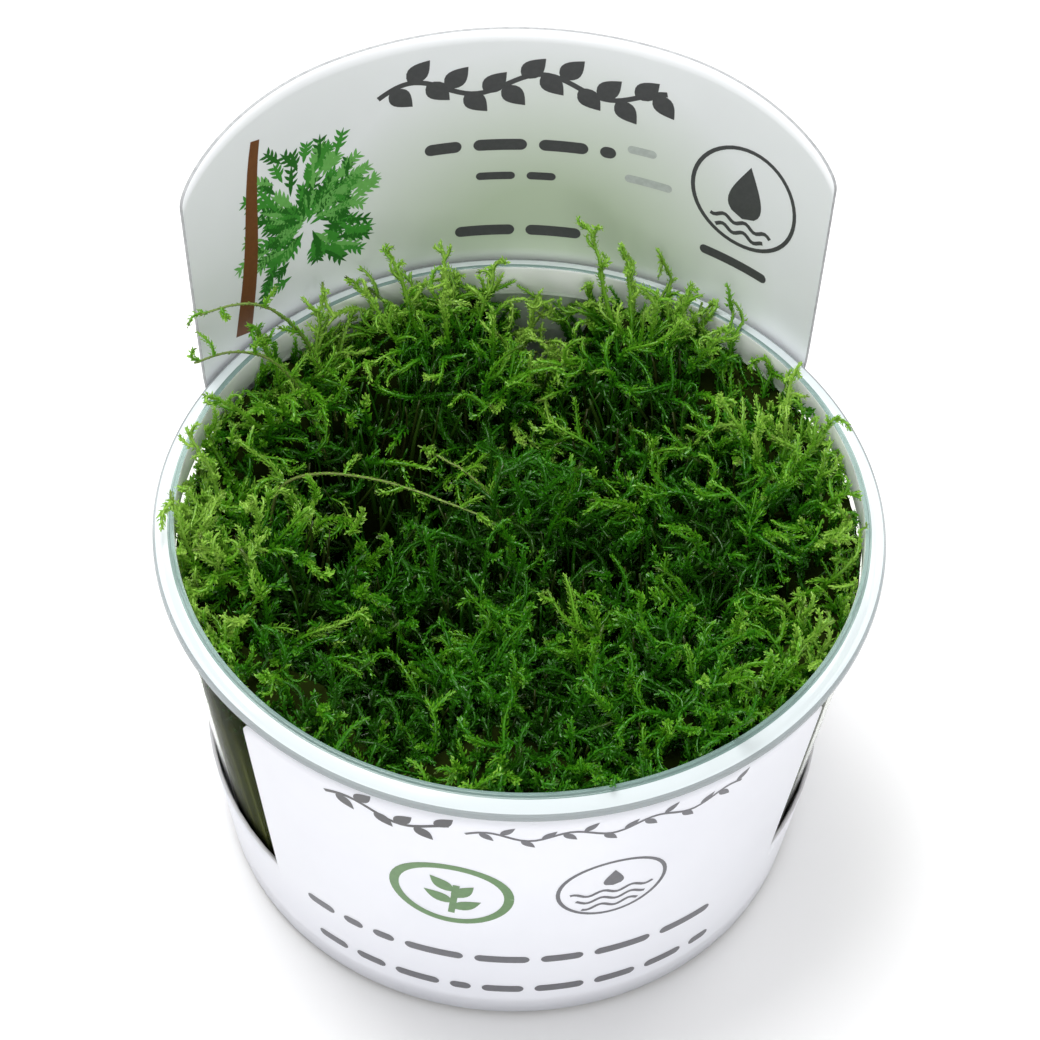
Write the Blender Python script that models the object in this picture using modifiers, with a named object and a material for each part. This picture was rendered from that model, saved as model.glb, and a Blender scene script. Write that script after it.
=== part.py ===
"""Spiky moss grown from tissue culture, in its clear cup with a printed card sleeve.

The cup stands on z = 0 with its axis on the Z axis. The front of the cup faces -Y and the header of
the sleeve stands behind, towards +Y. All sizes are in metres.
"""

from math import acos, atan2, cos, exp, pi, radians, sin, sqrt

import bmesh
import bpy
import numpy as np
from mathutils import Vector

# Cup
BASE_RADIUS = 0.04125
WALL_SLOPE = 0.125
FLANGE_RADIUS = 0.050
FLANGE_EDGE_Z = 0.0593
FLANGE_EDGE_DROP = 0.0010
CREST_RADIUS = 0.0469
CREST_Z = 0.0606
NECK_RADIUS = 0.0470
LEDGE_Z = 0.0554
LEDGE_RADIUS = 0.0467
FLOOR_THICKNESS = 0.0012
INNER_BASE_RADIUS = 0.0404
INNER_ROUND = 0.0020
FOOT_ROUND = 0.0012
NECK_STEP = 0.0004
CREST_ROUND = 0.0004
FLANGE_ROUND = 0.0004
FLANGE_FILLET = 0.0003
CUP_STEPS = 60

# Card sleeve
CARD_THICKNESS = 0.0005
CARD_GAP = 0.0003
CARD_FOOT_Z = 0.0008
BAND_TOP_Z = 0.0185
PANEL_TOP_Z = 0.0573
PANEL_CENTRE = radians(5.5)
PANEL_HALF_WIDTH = radians(51.5)
PANEL_CORNER = 0.0040
HEADER_CENTRE = radians(-5.6)
HEADER_HALF_WIDTH = radians(57.4)
HEADER_TAPER = 0.059
HEADER_TAPER_START_Z = 0.060
HEADER_TOP_Z = 0.0985
HEADER_TOP_DROOP = 0.0028
HEADER_CORNER_WIDTH = 0.0289
HEADER_CORNER_HEIGHT = 0.0068
HEADER_STANDOFF = 0.00155
STANDOFF_START_Z = 0.0200
STANDOFF_END_Z = 0.0550
CARD_STEP = radians(4.0)
CORNER_SHARES = (0.0, 0.02, 0.08, 0.2, 0.42, 0.7, 1.0)
HEADER_ROWS = 8
WINDOW_STEPS = 8

# Moss
MOSS_FLOOR_Z = 0.0017
WALL_CLEARANCE = 0.0005
TUFT_GAP = 0.0007
TUFT_RADIUS = 0.0165
TUFT_SPOKES = 20
TUFT_TOP_RINGS = 8
TUFT_SIDE_RINGS = 4
TUFT_FOOT_DISH = 0.0006
CROWN_CURVE = 2.2
CROWN_SINK = 0.0050
CROWN_ROUGHNESS = 0.0020
SIDE_ROUGHNESS = 0.00015
RIM_RISE_Z = 0.0560
BACK_RIM_RISE = 0.0030
BACK_Y = 0.020
RIM_START_RADIUS = 0.030
RIM_FULL_RADIUS = 0.041
SPIKE_SHARE = 0.62
SPIKE_LOW = 0.0030
SPIKE_HIGH = 0.0085
SPIKE_LEAN = 0.30

# Long sprigs that stand out of the tufts
SPRIG_ROOT_RADIUS = 0.0013
SPRIG_TIP_RADIUS = 0.0004
BARE_ROOT_RADIUS = 0.0007
SPRIG_ROOT_SHARE = 0.25
SPRIG_BEND_SHARE = 0.70
SPRIG_BEND_RISE = 0.90
SPRIG_DEPTH = 0.014
SPRIG_POINTS = 6
WELD_DISTANCE = 0.00001

# Each tuft: the middle of its crown, the height of the crown and of its shoulder
TUFTS = {
    "tuft_back_left": ((-0.0295, 0.0205), 0.0600, 0.0500),
    "tuft_back": ((-0.0110, 0.0310), 0.0640, 0.0480),
    "tuft_back_right": ((0.0170, 0.0290), 0.0650, 0.0500),
    "tuft_right": ((0.0335, 0.0060), 0.0630, 0.0540),
    "tuft_front_right": ((0.0250, -0.0230), 0.0600, 0.0530),
    "tuft_front": ((-0.0020, -0.0300), 0.0590, 0.0520),
    "tuft_front_left": ((-0.0250, -0.0250), 0.0570, 0.0510),
    "tuft_left": ((-0.0335, -0.0035), 0.0610, 0.0530),
    "tuft_middle": ((0.0010, 0.0000), 0.0580, 0.0500),
}

# Dark hollows between the tufts: where, how wide and how deep
HOLLOWS = (
    ((-0.0240, 0.0060), 0.0065, 0.026),
    ((-0.0150, -0.0160), 0.0050, 0.020),
    ((-0.0225, -0.0130), 0.0045, 0.018),
    ((0.0020, 0.0430), 0.0045, 0.016),
    ((-0.0290, 0.0370), 0.0040, 0.012),
    ((-0.0100, 0.0150), 0.0050, 0.010),
)

# Wide dark places where the moss stays lower: where, how wide and long, how deep
DARK_PLACES = (
    ((-0.0185, 0.0090), (0.0120, 0.0135), 0.0095),
    ((-0.0165, -0.0150), (0.0080, 0.0125), 0.0100),
    ((0.0050, -0.0010), (0.0080, 0.0075), 0.0060),
)

# Tips of the long sprigs that stand out of each tuft
SPRIG_TIPS = {
    "tuft_back_left": (
        (-0.0390, 0.0240, 0.0700),
        (-0.0290, 0.0330, 0.0680),
        (-0.0440, 0.0130, 0.0670),
    ),
    "tuft_back": (
        (-0.0260, 0.0350, 0.0690),
        (-0.0210, 0.0390, 0.0710),
        (-0.0130, 0.0420, 0.0700),
        (-0.0040, 0.0420, 0.0670),
        (-0.0120, 0.0340, 0.0700),
    ),
    "tuft_back_right": (
        (0.0070, 0.0430, 0.0740),
        (0.0130, 0.0400, 0.0720),
        (0.0230, 0.0360, 0.0690),
        (0.0290, 0.0300, 0.0670),
        (0.0180, 0.0330, 0.0710),
    ),
    "tuft_right": (
        (0.0380, 0.0210, 0.0700),
        (0.0430, 0.0120, 0.0690),
        (0.0460, 0.0030, 0.0640),
        (0.0450, -0.0060, 0.0640),
        (0.0370, 0.0060, 0.0680),
    ),
    "tuft_front_right": (
        (0.0420, -0.0180, 0.0620),
        (0.0280, -0.0350, 0.0620),
        (0.0300, -0.0200, 0.0650),
    ),
    "tuft_front": (
        (0.0120, -0.0450, 0.0615),
        (-0.0080, -0.0440, 0.0600),
        (0.0010, -0.0300, 0.0640),
    ),
    "tuft_front_left": (
        (-0.0330, -0.0310, 0.0620),
        (-0.0240, -0.0370, 0.0610),
    ),
    "tuft_left": (
        (-0.0460, 0.0080, 0.0660),
        (-0.0465, -0.0010, 0.0640),
        (-0.0430, -0.0120, 0.0640),
        (-0.0360, -0.0050, 0.0660),
    ),
    "tuft_middle": (
        (0.0080, 0.0060, 0.0640),
        (-0.0030, -0.0050, 0.0630),
    ),
}

# Stems that stay nearly bare, each through its own points: two reach over the rim, two lie on the moss
BARE_STEMS = {
    "tuft_back_left": (
        (
            (-0.0270, 0.0250, 0.0500),
            (-0.0300, 0.0270, 0.0640),
            (-0.0350, 0.0260, 0.0720),
            (-0.0400, 0.0240, 0.0750),
            (-0.0445, 0.0190, 0.0770),
        ),
        (
            (-0.0280, 0.0190, 0.0480),
            (-0.0310, 0.0210, 0.0610),
            (-0.0360, 0.0215, 0.0670),
            (-0.0410, 0.0200, 0.0690),
            (-0.0455, 0.0160, 0.0700),
        ),
    ),
    "tuft_left": (
        (
            (-0.0345, 0.0030, 0.0470),
            (-0.0350, 0.0060, 0.0560),
            (-0.0300, 0.0072, 0.0585),
            (-0.0239, 0.0068, 0.0590),
            (-0.0170, 0.0050, 0.0590),
            (-0.0112, 0.0030, 0.0585),
            (-0.0045, 0.0005, 0.0575),
        ),
    ),
    "tuft_middle": (
        (
            (0.0000, 0.0030, 0.0440),
            (-0.0029, 0.0058, 0.0555),
            (-0.0062, 0.0084, 0.0575),
            (-0.0100, 0.0110, 0.0580),
            (-0.0145, 0.0145, 0.0570),
        ),
    ),
}

SEED = 7


def clear_scene():
    for obj in list(bpy.data.objects):
        bpy.data.objects.remove(obj, do_unlink=True)


def new_collection(name):
    collection = bpy.data.collections.new(name)
    bpy.context.scene.collection.children.link(collection)
    return collection


def principled(name, colour, roughness, transmission=0.0, ior=1.45):
    material = bpy.data.materials.new(name)
    material.use_nodes = True
    shader = material.node_tree.nodes["Principled BSDF"]
    shader.inputs["Base Color"].default_value = (*colour, 1.0)
    shader.inputs["Roughness"].default_value = roughness
    shader.inputs["Metallic"].default_value = 0.0
    shader.inputs["Transmission Weight"].default_value = transmission
    shader.inputs["IOR"].default_value = ior
    return material


def add_object(name, mesh, collection, material):
    obj = bpy.data.objects.new(name, mesh)
    obj.data.materials.append(material)
    collection.objects.link(obj)
    return obj


def wall_outer(z):
    """Outer radius of the cup's wall at a height."""
    return BASE_RADIUS + WALL_SLOPE * z


def wall_inner(z):
    """Inner radius of the cup's wall at a height below the ledge."""
    foot_z = FLOOR_THICKNESS + INNER_ROUND
    share = (z - foot_z) / (LEDGE_Z - foot_z)
    return INNER_BASE_RADIUS + (LEDGE_RADIUS - INNER_BASE_RADIUS) * share


def smooth_share(value, low, high):
    """0 below low, 1 above high, with a smooth step between."""
    share = min(max((value - low) / (high - low), 0.0), 1.0)
    return share * share * (3 - 2 * share)


def rounded_corner(middle_radius, middle_z, size, start, end):
    """Three points of an arc, from one angle to another in degrees."""
    angles = [radians(angle) for angle in (start, (start + end) / 2, end)]
    return [(middle_radius + size * cos(a), middle_z + size * sin(a)) for a in angles]


def cup_profile():
    """Radius and height from the middle of the inner floor, over the rim and down to the base."""
    underside_z = FLANGE_EDGE_Z - FLANGE_EDGE_DROP
    fillet_radius = wall_outer(underside_z) + FLANGE_FILLET
    inner_corner = rounded_corner(
        INNER_BASE_RADIUS - INNER_ROUND, FLOOR_THICKNESS + INNER_ROUND, INNER_ROUND, -90, 0
    )
    inside = [(0.0, FLOOR_THICKNESS), *inner_corner]
    neck = [
        (LEDGE_RADIUS, LEDGE_Z),
        (NECK_RADIUS, LEDGE_Z + NECK_STEP),
        (CREST_RADIUS, CREST_Z - CREST_ROUND),
    ]
    rim = [
        (CREST_RADIUS + CREST_ROUND / 2, CREST_Z),
        (CREST_RADIUS + CREST_ROUND * 2, CREST_Z),
        (FLANGE_RADIUS - FLANGE_ROUND, FLANGE_EDGE_Z),
        (FLANGE_RADIUS, FLANGE_EDGE_Z - FLANGE_ROUND / 2),
        (FLANGE_RADIUS, underside_z + FLANGE_ROUND / 4),
        (FLANGE_RADIUS - FLANGE_ROUND, underside_z),
        (fillet_radius, underside_z + FLANGE_FILLET / 2),
        (wall_outer(underside_z - FLANGE_FILLET), underside_z - FLANGE_FILLET),
    ]
    foot_corner = rounded_corner(BASE_RADIUS - FOOT_ROUND, FOOT_ROUND, FOOT_ROUND, 0, -90)
    return inside + neck + rim + foot_corner + [(0.0, 0.0)]


def build_cup(collection):
    mesh = bpy.data.meshes.new("cup")
    points = [(radius, 0.0, z) for radius, z in cup_profile()]
    mesh.from_pydata(points, [(i, i + 1) for i in range(len(points) - 1)], [])
    material = principled("clear_plastic", (0.90, 0.95, 0.95), 0.08, 1.0, 1.49)
    cup = add_object("cup", mesh, collection, material)
    screw = cup.modifiers.new("turn", "SCREW")
    screw.axis = "Z"
    screw.steps = CUP_STEPS
    screw.render_steps = CUP_STEPS
    screw.use_merge_vertices = True
    screw.merge_threshold = WELD_DISTANCE
    screw.use_smooth_shade = True
    return cup


def corner_drop(distance, width, height):
    """How far a rounded corner falls below the straight edge, at a distance in from the side."""
    share = max(width - distance, 0.0) / width
    return height * (1 - sqrt(max(1 - share * share, 0.0)))


def card_radius(z, in_header):
    """Radius of the middle of the card's thickness."""
    radius = wall_outer(z) + CARD_GAP + CARD_THICKNESS / 2
    if in_header:
        radius += HEADER_STANDOFF * smooth_share(z, STANDOFF_START_Z, STANDOFF_END_Z)
    return radius


def upright_columns(centre, half_width, corner, edge_radius):
    """Angles across a panel, closer together in its rounded corners."""
    corner_angle = corner / edge_radius
    near_edge = [half_width - corner_angle * share for share in CORNER_SHARES]
    inner = near_edge[-1]
    count = max(2, int(round(2 * inner / CARD_STEP)))
    middle = [inner - 2 * inner * i / count for i in range(1, count)]
    offsets = near_edge + middle + [-offset for offset in reversed(near_edge)]
    return [centre - offset for offset in offsets]


def panel_top(offset):
    distance = (PANEL_HALF_WIDTH - abs(offset)) * wall_outer(PANEL_TOP_Z)
    return PANEL_TOP_Z - corner_drop(distance, PANEL_CORNER, PANEL_CORNER)


def header_top(offset):
    distance = (HEADER_HALF_WIDTH - abs(offset)) * card_radius(HEADER_TOP_Z, True)
    droop = HEADER_TOP_DROOP * (offset / HEADER_HALF_WIDTH) ** 2
    return HEADER_TOP_Z - droop - corner_drop(distance, HEADER_CORNER_WIDTH, HEADER_CORNER_HEIGHT)


def header_angle(offset, z):
    """Angle of a header's column at a height: the header grows narrower towards its top."""
    share = max(z - HEADER_TAPER_START_Z, 0.0) / (HEADER_TOP_Z - HEADER_TAPER_START_Z)
    return pi - HEADER_CENTRE - offset * (1 - HEADER_TAPER * share)


def build_label_sleeve(collection):
    """One sheet: a band all round, a front panel and a header, made as a surface and thickened."""
    panel = upright_columns(PANEL_CENTRE, PANEL_HALF_WIDTH, PANEL_CORNER, wall_outer(PANEL_TOP_Z))
    header = upright_columns(
        0.0, HEADER_HALF_WIDTH, HEADER_CORNER_WIDTH, card_radius(HEADER_TOP_Z, True)
    )
    # Angles run from the front, -Y, towards +X. The header's are counted from the back, +Y.
    columns = [("panel", angle, angle - PANEL_CENTRE) for angle in panel]
    header_back = [("header", header_angle(offset, 0.0), offset) for offset in reversed(header)]
    right_gap = np.linspace(panel[-1], header_back[0][1], WINDOW_STEPS)[1:-1]
    left_gap = np.linspace(header_back[-1][1], panel[0] + 2 * pi, WINDOW_STEPS)[1:-1]
    columns += [("window", angle, 0.0) for angle in right_gap]
    columns += header_back
    columns += [("window", angle, 0.0) for angle in left_gap]
    bm = bmesh.new()
    grid = []
    for kind, angle, offset in columns:
        heights = [CARD_FOOT_Z, BAND_TOP_Z]
        if kind == "panel":
            heights.append(panel_top(offset))
        if kind == "header":
            top = header_top(offset)
            heights += [
                BAND_TOP_Z + (top - BAND_TOP_Z) * row / HEADER_ROWS for row in range(1, HEADER_ROWS + 1)
            ]
        column = []
        for z in heights:
            radius = card_radius(z, kind == "header")
            turn = header_angle(offset, z) if kind == "header" else angle
            column.append(bm.verts.new((radius * sin(turn), -radius * cos(turn), z)))
        grid.append(column)
    for i, column in enumerate(grid):
        following = grid[(i + 1) % len(grid)]
        for row in range(min(len(column), len(following)) - 1):
            bm.faces.new((column[row], following[row], following[row + 1], column[row + 1]))
    bmesh.ops.recalc_face_normals(bm, faces=bm.faces)
    mesh = bpy.data.meshes.new("label_sleeve")
    bm.to_mesh(mesh)
    bm.free()
    mesh.shade_smooth()
    material = principled("printed_card", (0.86, 0.87, 0.90), 0.30)
    sleeve = add_object("label_sleeve", mesh, collection, material)
    thicken = sleeve.modifiers.new("card", "SOLIDIFY")
    thicken.thickness = CARD_THICKNESS
    thicken.offset = 0.0
    return sleeve


def tuft_reach(name, angle, z):
    """How far a tuft runs from its middle before it meets a neighbour or the cup's wall."""
    x, y = TUFTS[name][0]
    dx, dy = cos(angle), sin(angle)
    along = x * dx + y * dy
    limit = wall_inner(min(z, LEDGE_Z)) - WALL_CLEARANCE
    reach = -along + sqrt(along * along + limit * limit - x * x - y * y)
    for other, (middle, _, _) in TUFTS.items():
        if other == name:
            continue
        apart_x, apart_y = middle[0] - x, middle[1] - y
        apart = sqrt(apart_x**2 + apart_y**2)
        facing = (dx * apart_x + dy * apart_y) / apart
        if facing > 0:
            reach = min(reach, (apart / 2 - TUFT_GAP / 2) / facing)
    return reach


def hollow_depth(x, y):
    """How far the hollows and the dark places press the moss down at a place."""
    depth = 0.0
    for (hx, hy), width, deep in HOLLOWS:
        depth = max(depth, deep * exp(-((x - hx) ** 2 + (y - hy) ** 2) / width**2))
    for (hx, hy), (wide, long), deep in DARK_PLACES:
        depth = max(depth, deep * exp(-(((x - hx) / wide) ** 2) - ((y - hy) / long) ** 2))
    return depth


def crown_height(name, x, y):
    """Height of the dense moss of a tuft at a place, between the spikes that stand out of it."""
    middle, crown_z, shoulder_z = TUFTS[name]
    share = min(sqrt((x - middle[0]) ** 2 + (y - middle[1]) ** 2) / TUFT_RADIUS, 1.0)
    height = shoulder_z + (crown_z - shoulder_z) * (1 - share**CROWN_CURVE)
    rim = RIM_RISE_Z + (BACK_RIM_RISE if y > BACK_Y else 0.0)
    rim *= smooth_share(sqrt(x * x + y * y), RIM_START_RADIUS, RIM_FULL_RADIUS)
    return max(height, rim) - hollow_depth(x, y) - CROWN_SINK


def build_tuft_body(name, seed):
    """A sphere's grid drawn onto the tuft: its crown of spikes, its sides and its flat foot."""
    (x, y), _, shoulder_z = TUFTS[name]
    rng = np.random.default_rng(seed)
    rings = TUFT_TOP_RINGS + TUFT_SIDE_RINGS + 1
    random_rows = rng.random((rings + 1, TUFT_SPOKES))
    foot_z = MOSS_FLOOR_Z + TUFT_FOOT_DISH
    bm = bmesh.new()
    bmesh.ops.create_uvsphere(bm, u_segments=TUFT_SPOKES, v_segments=rings, radius=1.0)
    for vertex in bm.verts:
        ring = round(acos(max(-1.0, min(1.0, vertex.co.z))) / pi * rings)
        spoke = round(atan2(vertex.co.y, vertex.co.x) / (2 * pi) * TUFT_SPOKES) % TUFT_SPOKES
        angle = 2 * pi * spoke / TUFT_SPOKES
        chance = random_rows[ring, spoke]
        dx, dy = cos(angle), sin(angle)
        rim = tuft_reach(name, angle, shoulder_z)
        rim_z = crown_height(name, x + rim * dx, y + rim * dy)
        rim = tuft_reach(name, angle, rim_z)
        if ring == rings:
            vertex.co = (x, y, foot_z)
        elif ring > TUFT_TOP_RINGS:
            share = (rings - 1 - ring) / TUFT_SIDE_RINGS
            z = foot_z + (rim_z - foot_z) * share
            reach = tuft_reach(name, angle, z) - SIDE_ROUGHNESS * (1 + chance)
            vertex.co = (x + reach * dx, y + reach * dy, z)
        else:
            reach = rim * ring / TUFT_TOP_RINGS
            z = crown_height(name, x + reach * dx, y + reach * dy)
            if chance > SPIKE_SHARE and 0 < ring < TUFT_TOP_RINGS:
                spike = SPIKE_LOW + (SPIKE_HIGH - SPIKE_LOW) * (chance - SPIKE_SHARE) / (1 - SPIKE_SHARE)
                outward = (dx * x + dy * y) / max(sqrt(x * x + y * y), TUFT_GAP)
                z += spike
                reach += min(SPIKE_LEAN * spike * max(outward, 0.0), rim / TUFT_TOP_RINGS / 2)
            elif ring < TUFT_TOP_RINGS:
                z -= CROWN_ROUGHNESS * chance
            vertex.co = (x + reach * dx, y + reach * dy, z)
    mesh = bpy.data.meshes.new(name)
    bm.to_mesh(mesh)
    bm.free()
    return mesh


def sprig_path(name, tip):
    """A stem that starts inside the tuft, rises and bends over towards its tip."""
    (x, y), crown_z, _ = TUFTS[name]
    tip = Vector(tip)
    middle = Vector((x, y, 0.0))
    level_tip = Vector((tip.x, tip.y, 0.0))
    root = middle.lerp(level_tip, SPRIG_ROOT_SHARE)
    root.z = crown_z - SPRIG_DEPTH
    bend = middle.lerp(level_tip, SPRIG_BEND_SHARE)
    bend.z = root.z + (tip.z - root.z) * SPRIG_BEND_RISE
    points = []
    for i in range(SPRIG_POINTS):
        t = i / (SPRIG_POINTS - 1)
        points.append(root * (1 - t) ** 2 + bend * 2 * t * (1 - t) + tip * t * t)
    return points


def build_sprig(name, points, root_radius):
    """A tapered round stem along its points, as a closed mesh."""
    curve = bpy.data.curves.new(name, "CURVE")
    curve.dimensions = "3D"
    curve.bevel_depth = root_radius
    curve.bevel_resolution = 0
    curve.use_fill_caps = True
    spline = curve.splines.new("POLY")
    spline.points.add(len(points) - 1)
    slimmest = SPRIG_TIP_RADIUS / root_radius
    for i, point in enumerate(points):
        spline.points[i].co = (*point, 1.0)
        spline.points[i].radius = 1.0 + (slimmest - 1.0) * i / (len(points) - 1)
    guide = bpy.data.objects.new(name, curve)
    bpy.context.scene.collection.objects.link(guide)
    graph = bpy.context.evaluated_depsgraph_get()
    mesh = bpy.data.meshes.new_from_object(guide.evaluated_get(graph))
    bpy.data.objects.remove(guide, do_unlink=True)
    bm = bmesh.new()
    bm.from_mesh(mesh)
    bmesh.ops.remove_doubles(bm, verts=bm.verts, dist=WELD_DISTANCE)
    bmesh.ops.recalc_face_normals(bm, faces=bm.faces)
    bm.to_mesh(mesh)
    bm.free()
    return mesh


def build_tufts(collection, cutters):
    moss = principled("moss_green", (0.09, 0.26, 0.03), 0.6)
    for index, name in enumerate(TUFTS):
        tuft = add_object(name, build_tuft_body(name, SEED + index), collection, moss)
        stems = [(sprig_path(name, tip), SPRIG_ROOT_RADIUS) for tip in SPRIG_TIPS[name]]
        stems += [(points, BARE_ROOT_RADIUS) for points in BARE_STEMS.get(name, ())]
        for number, (points, root_radius) in enumerate(stems):
            stem_name = f"{name}_stem_{number}"
            stem = add_object(stem_name, build_sprig(stem_name, points, root_radius), cutters, moss)
            stem.hide_render = True
            stem.display_type = "WIRE"
            join = tuft.modifiers.new(stem_name, "BOOLEAN")
            join.operation = "UNION"
            join.solver = "EXACT"
            join.object = stem


def main():
    clear_scene()
    parts = new_collection("spiky_moss_cup")
    cutters = new_collection("joined_shapes")
    build_cup(parts)
    build_label_sleeve(parts)
    build_tufts(parts, cutters)


main()
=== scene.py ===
"""Looks of the spiky moss cup, around its CAD frame: clear cup, printed card sleeve and the moss."""

from collections import namedtuple
from math import cos, pi, radians, sin, sqrt

import bmesh
import bpy
import numpy as np
from mathutils import Matrix, Vector


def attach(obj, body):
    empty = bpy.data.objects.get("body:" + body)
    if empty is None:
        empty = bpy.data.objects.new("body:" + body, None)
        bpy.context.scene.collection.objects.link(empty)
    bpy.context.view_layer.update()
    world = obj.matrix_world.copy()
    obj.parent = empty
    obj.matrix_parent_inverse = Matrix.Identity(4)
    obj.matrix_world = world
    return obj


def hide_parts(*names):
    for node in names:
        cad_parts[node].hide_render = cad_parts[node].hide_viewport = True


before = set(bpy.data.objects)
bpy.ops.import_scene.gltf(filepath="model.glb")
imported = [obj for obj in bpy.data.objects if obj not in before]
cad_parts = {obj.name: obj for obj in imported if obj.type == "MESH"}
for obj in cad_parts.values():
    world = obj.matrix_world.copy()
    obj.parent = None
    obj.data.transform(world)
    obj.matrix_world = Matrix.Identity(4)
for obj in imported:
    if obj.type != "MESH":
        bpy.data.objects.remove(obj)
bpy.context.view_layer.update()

MM = 0.001
SEED = 20

# Cup, as in the CAD
BASE_RADIUS = 0.04125
WALL_SLOPE = 0.125
FLANGE_RADIUS = 0.05
FLANGE_EDGE_Z = 0.0593
FLANGE_EDGE_DROP = 0.001
CREST_RADIUS = 0.0469
CREST_Z = 0.0606
NECK_RADIUS = 0.047
LEDGE_Z = 0.0554
LEDGE_RADIUS = 0.0467
FLOOR_THICKNESS = 0.0012
WALL_THICKNESS = 0.0004
INNER_ROUND = 0.002
FOOT_ROUND = 0.0012
CUP_STEPS = 240
# From this radius out, the flange gets painted light
RIM_PAINTED_FROM_RADIUS = 0.048
# Above this height and towards the back, the inner wall gets painted light
PAINTED_WALL_FROM_Z = 0.045
PAINTED_WALL_FROM_Y = 0.028

# Card sleeve, as in the CAD
CARD_THICKNESS = 0.0005
CARD_GAP = 0.0003
CARD_FOOT_Z = 0.0008
BAND_TOP_Z = 0.0185
PANEL_TOP_Z = 0.0573
PANEL_CENTRE = radians(5.5)
PANEL_HALF_WIDTH = radians(51.5)
PANEL_CORNER = 0.004
HEADER_CENTRE = radians(-5.6)
HEADER_HALF_WIDTH = radians(57.4)
HEADER_TAPER = 0.059
HEADER_TAPER_START_Z = 0.06
HEADER_TOP_Z = 0.0985
HEADER_TOP_DROOP = 0.0028
HEADER_CORNER_WIDTH = 0.0289
HEADER_CORNER_HEIGHT = 0.0068
HEADER_STANDOFF = 0.00155
STANDOFF_START_Z = 0.02
STANDOFF_END_Z = 0.055
CARD_STEP = radians(1.0)
BAND_ROWS = 4
PANEL_ROWS = 14
HEADER_ROWS = 36
WINDOW_COLUMNS = 14
INK_LIFT = 0.00003

# Painted shade, tinted green by the moss, on the header beside it; and the height where the front panel's
# card, darkened for the extra light it gets, turns into the header's paler card, which makes up for the
# light the header misses
PAINTED_MOSS_SHADE_PLACE = (0.002, 0.05, 0.06)
PAINTED_MOSS_SHADE_REACH = (0.012, 0.036)
HEADER_PAINTED_LIGHT_Z = (0.057, 0.061)

# Camera, from the photograph's outline
CAMERA_AIM_Z = 0.05869
CAMERA_DISTANCE = 0.43172
CAMERA_ELEVATION = radians(49.35)
CAMERA_ROLL = radians(2.32)
CAMERA_SENSOR = 36.0
CAMERA_FOCAL_PIXELS = 3160.4
PICTURE_PIXELS = 1040.0

# Lights: name, place, height of the point on the cup's axis that they face, size, watts
LIGHTS = (
    ("top", (-0.12, 0.14, 0.78), 0.05, (0.45, 0.4), 5.0),
    ("back_left", (-0.46, 0.54, 0.5), 0.06, (0.35, 0.5), 1.7),
    ("back_right", (0.46, 0.54, 0.5), 0.06, (0.35, 0.5), 1.7),
    ("front", (0.04, -0.68, 0.42), 0.05, (0.5, 0.5), 2.15),
)
WORLD_STRENGTH = 0.45
FLOOR_COLOUR = (0.93, 0.93, 0.93)


def smooth_share(value, low, high):
    share = np.clip((value - low) / (high - low), 0.0, 1.0)
    return share * share * (3 - 2 * share)


def wall_outer(z):
    return BASE_RADIUS + WALL_SLOPE * z


def wall_inner(z):
    """Radius of the clear wall's inner face: thin below the ledge, drawn in at the neck above it."""
    return np.where(z < LEDGE_Z, wall_outer(z) - WALL_THICKNESS, NECK_RADIUS)


# Camera and light


def add_camera():
    data = bpy.data.cameras.new("camera")
    data.sensor_width = CAMERA_SENSOR
    data.lens = CAMERA_FOCAL_PIXELS / PICTURE_PIXELS * CAMERA_SENSOR
    data.clip_start = 0.01
    data.clip_end = 20
    camera = bpy.data.objects.new("camera", data)
    bpy.context.scene.collection.objects.link(camera)
    ce, se = cos(CAMERA_ELEVATION), sin(CAMERA_ELEVATION)
    forward = Vector((0, ce, -se))
    right = Vector((1, 0, 0))
    up = right.cross(forward)
    cr, sr = cos(CAMERA_ROLL), sin(CAMERA_ROLL)
    x_axis = right * cr + up * sr
    y_axis = up * cr - right * sr
    turn = Matrix((x_axis, y_axis, -forward)).transposed().to_4x4()
    place = Vector((0, 0, CAMERA_AIM_Z)) - forward * CAMERA_DISTANCE
    camera.matrix_world = Matrix.Translation(place) @ turn
    bpy.context.scene.camera = camera


def add_area_light(name, place, target_z, size, power):
    data = bpy.data.lights.new(name, "AREA")
    data.shape = "RECTANGLE"
    data.size, data.size_y = size
    data.energy = power
    light = bpy.data.objects.new(name, data)
    bpy.context.scene.collection.objects.link(light)
    light.location = place
    light.rotation_euler = (Vector((0, 0, target_z)) - Vector(place)).to_track_quat("-Z", "Y").to_euler()


def add_studio():
    world = bpy.data.worlds.new("studio")
    bpy.context.scene.world = world
    world.use_nodes = True
    background = world.node_tree.nodes["Background"]
    background.inputs["Color"].default_value = (1.0, 1.0, 1.0, 1.0)
    background.inputs["Strength"].default_value = WORLD_STRENGTH
    for light in LIGHTS:
        add_area_light(*light)
    bpy.context.scene.view_settings.view_transform = "Standard"
    bpy.ops.mesh.primitive_plane_add(size=3.0, location=(0, 0, -0.0001))
    floor = bpy.context.object
    floor.name = "floor"
    n = Nodes("floor")
    n.set(Base_Color=(*FLOOR_COLOUR, 1.0), Roughness=0.9)
    floor.data.materials.append(n.material)


# Materials


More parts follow.
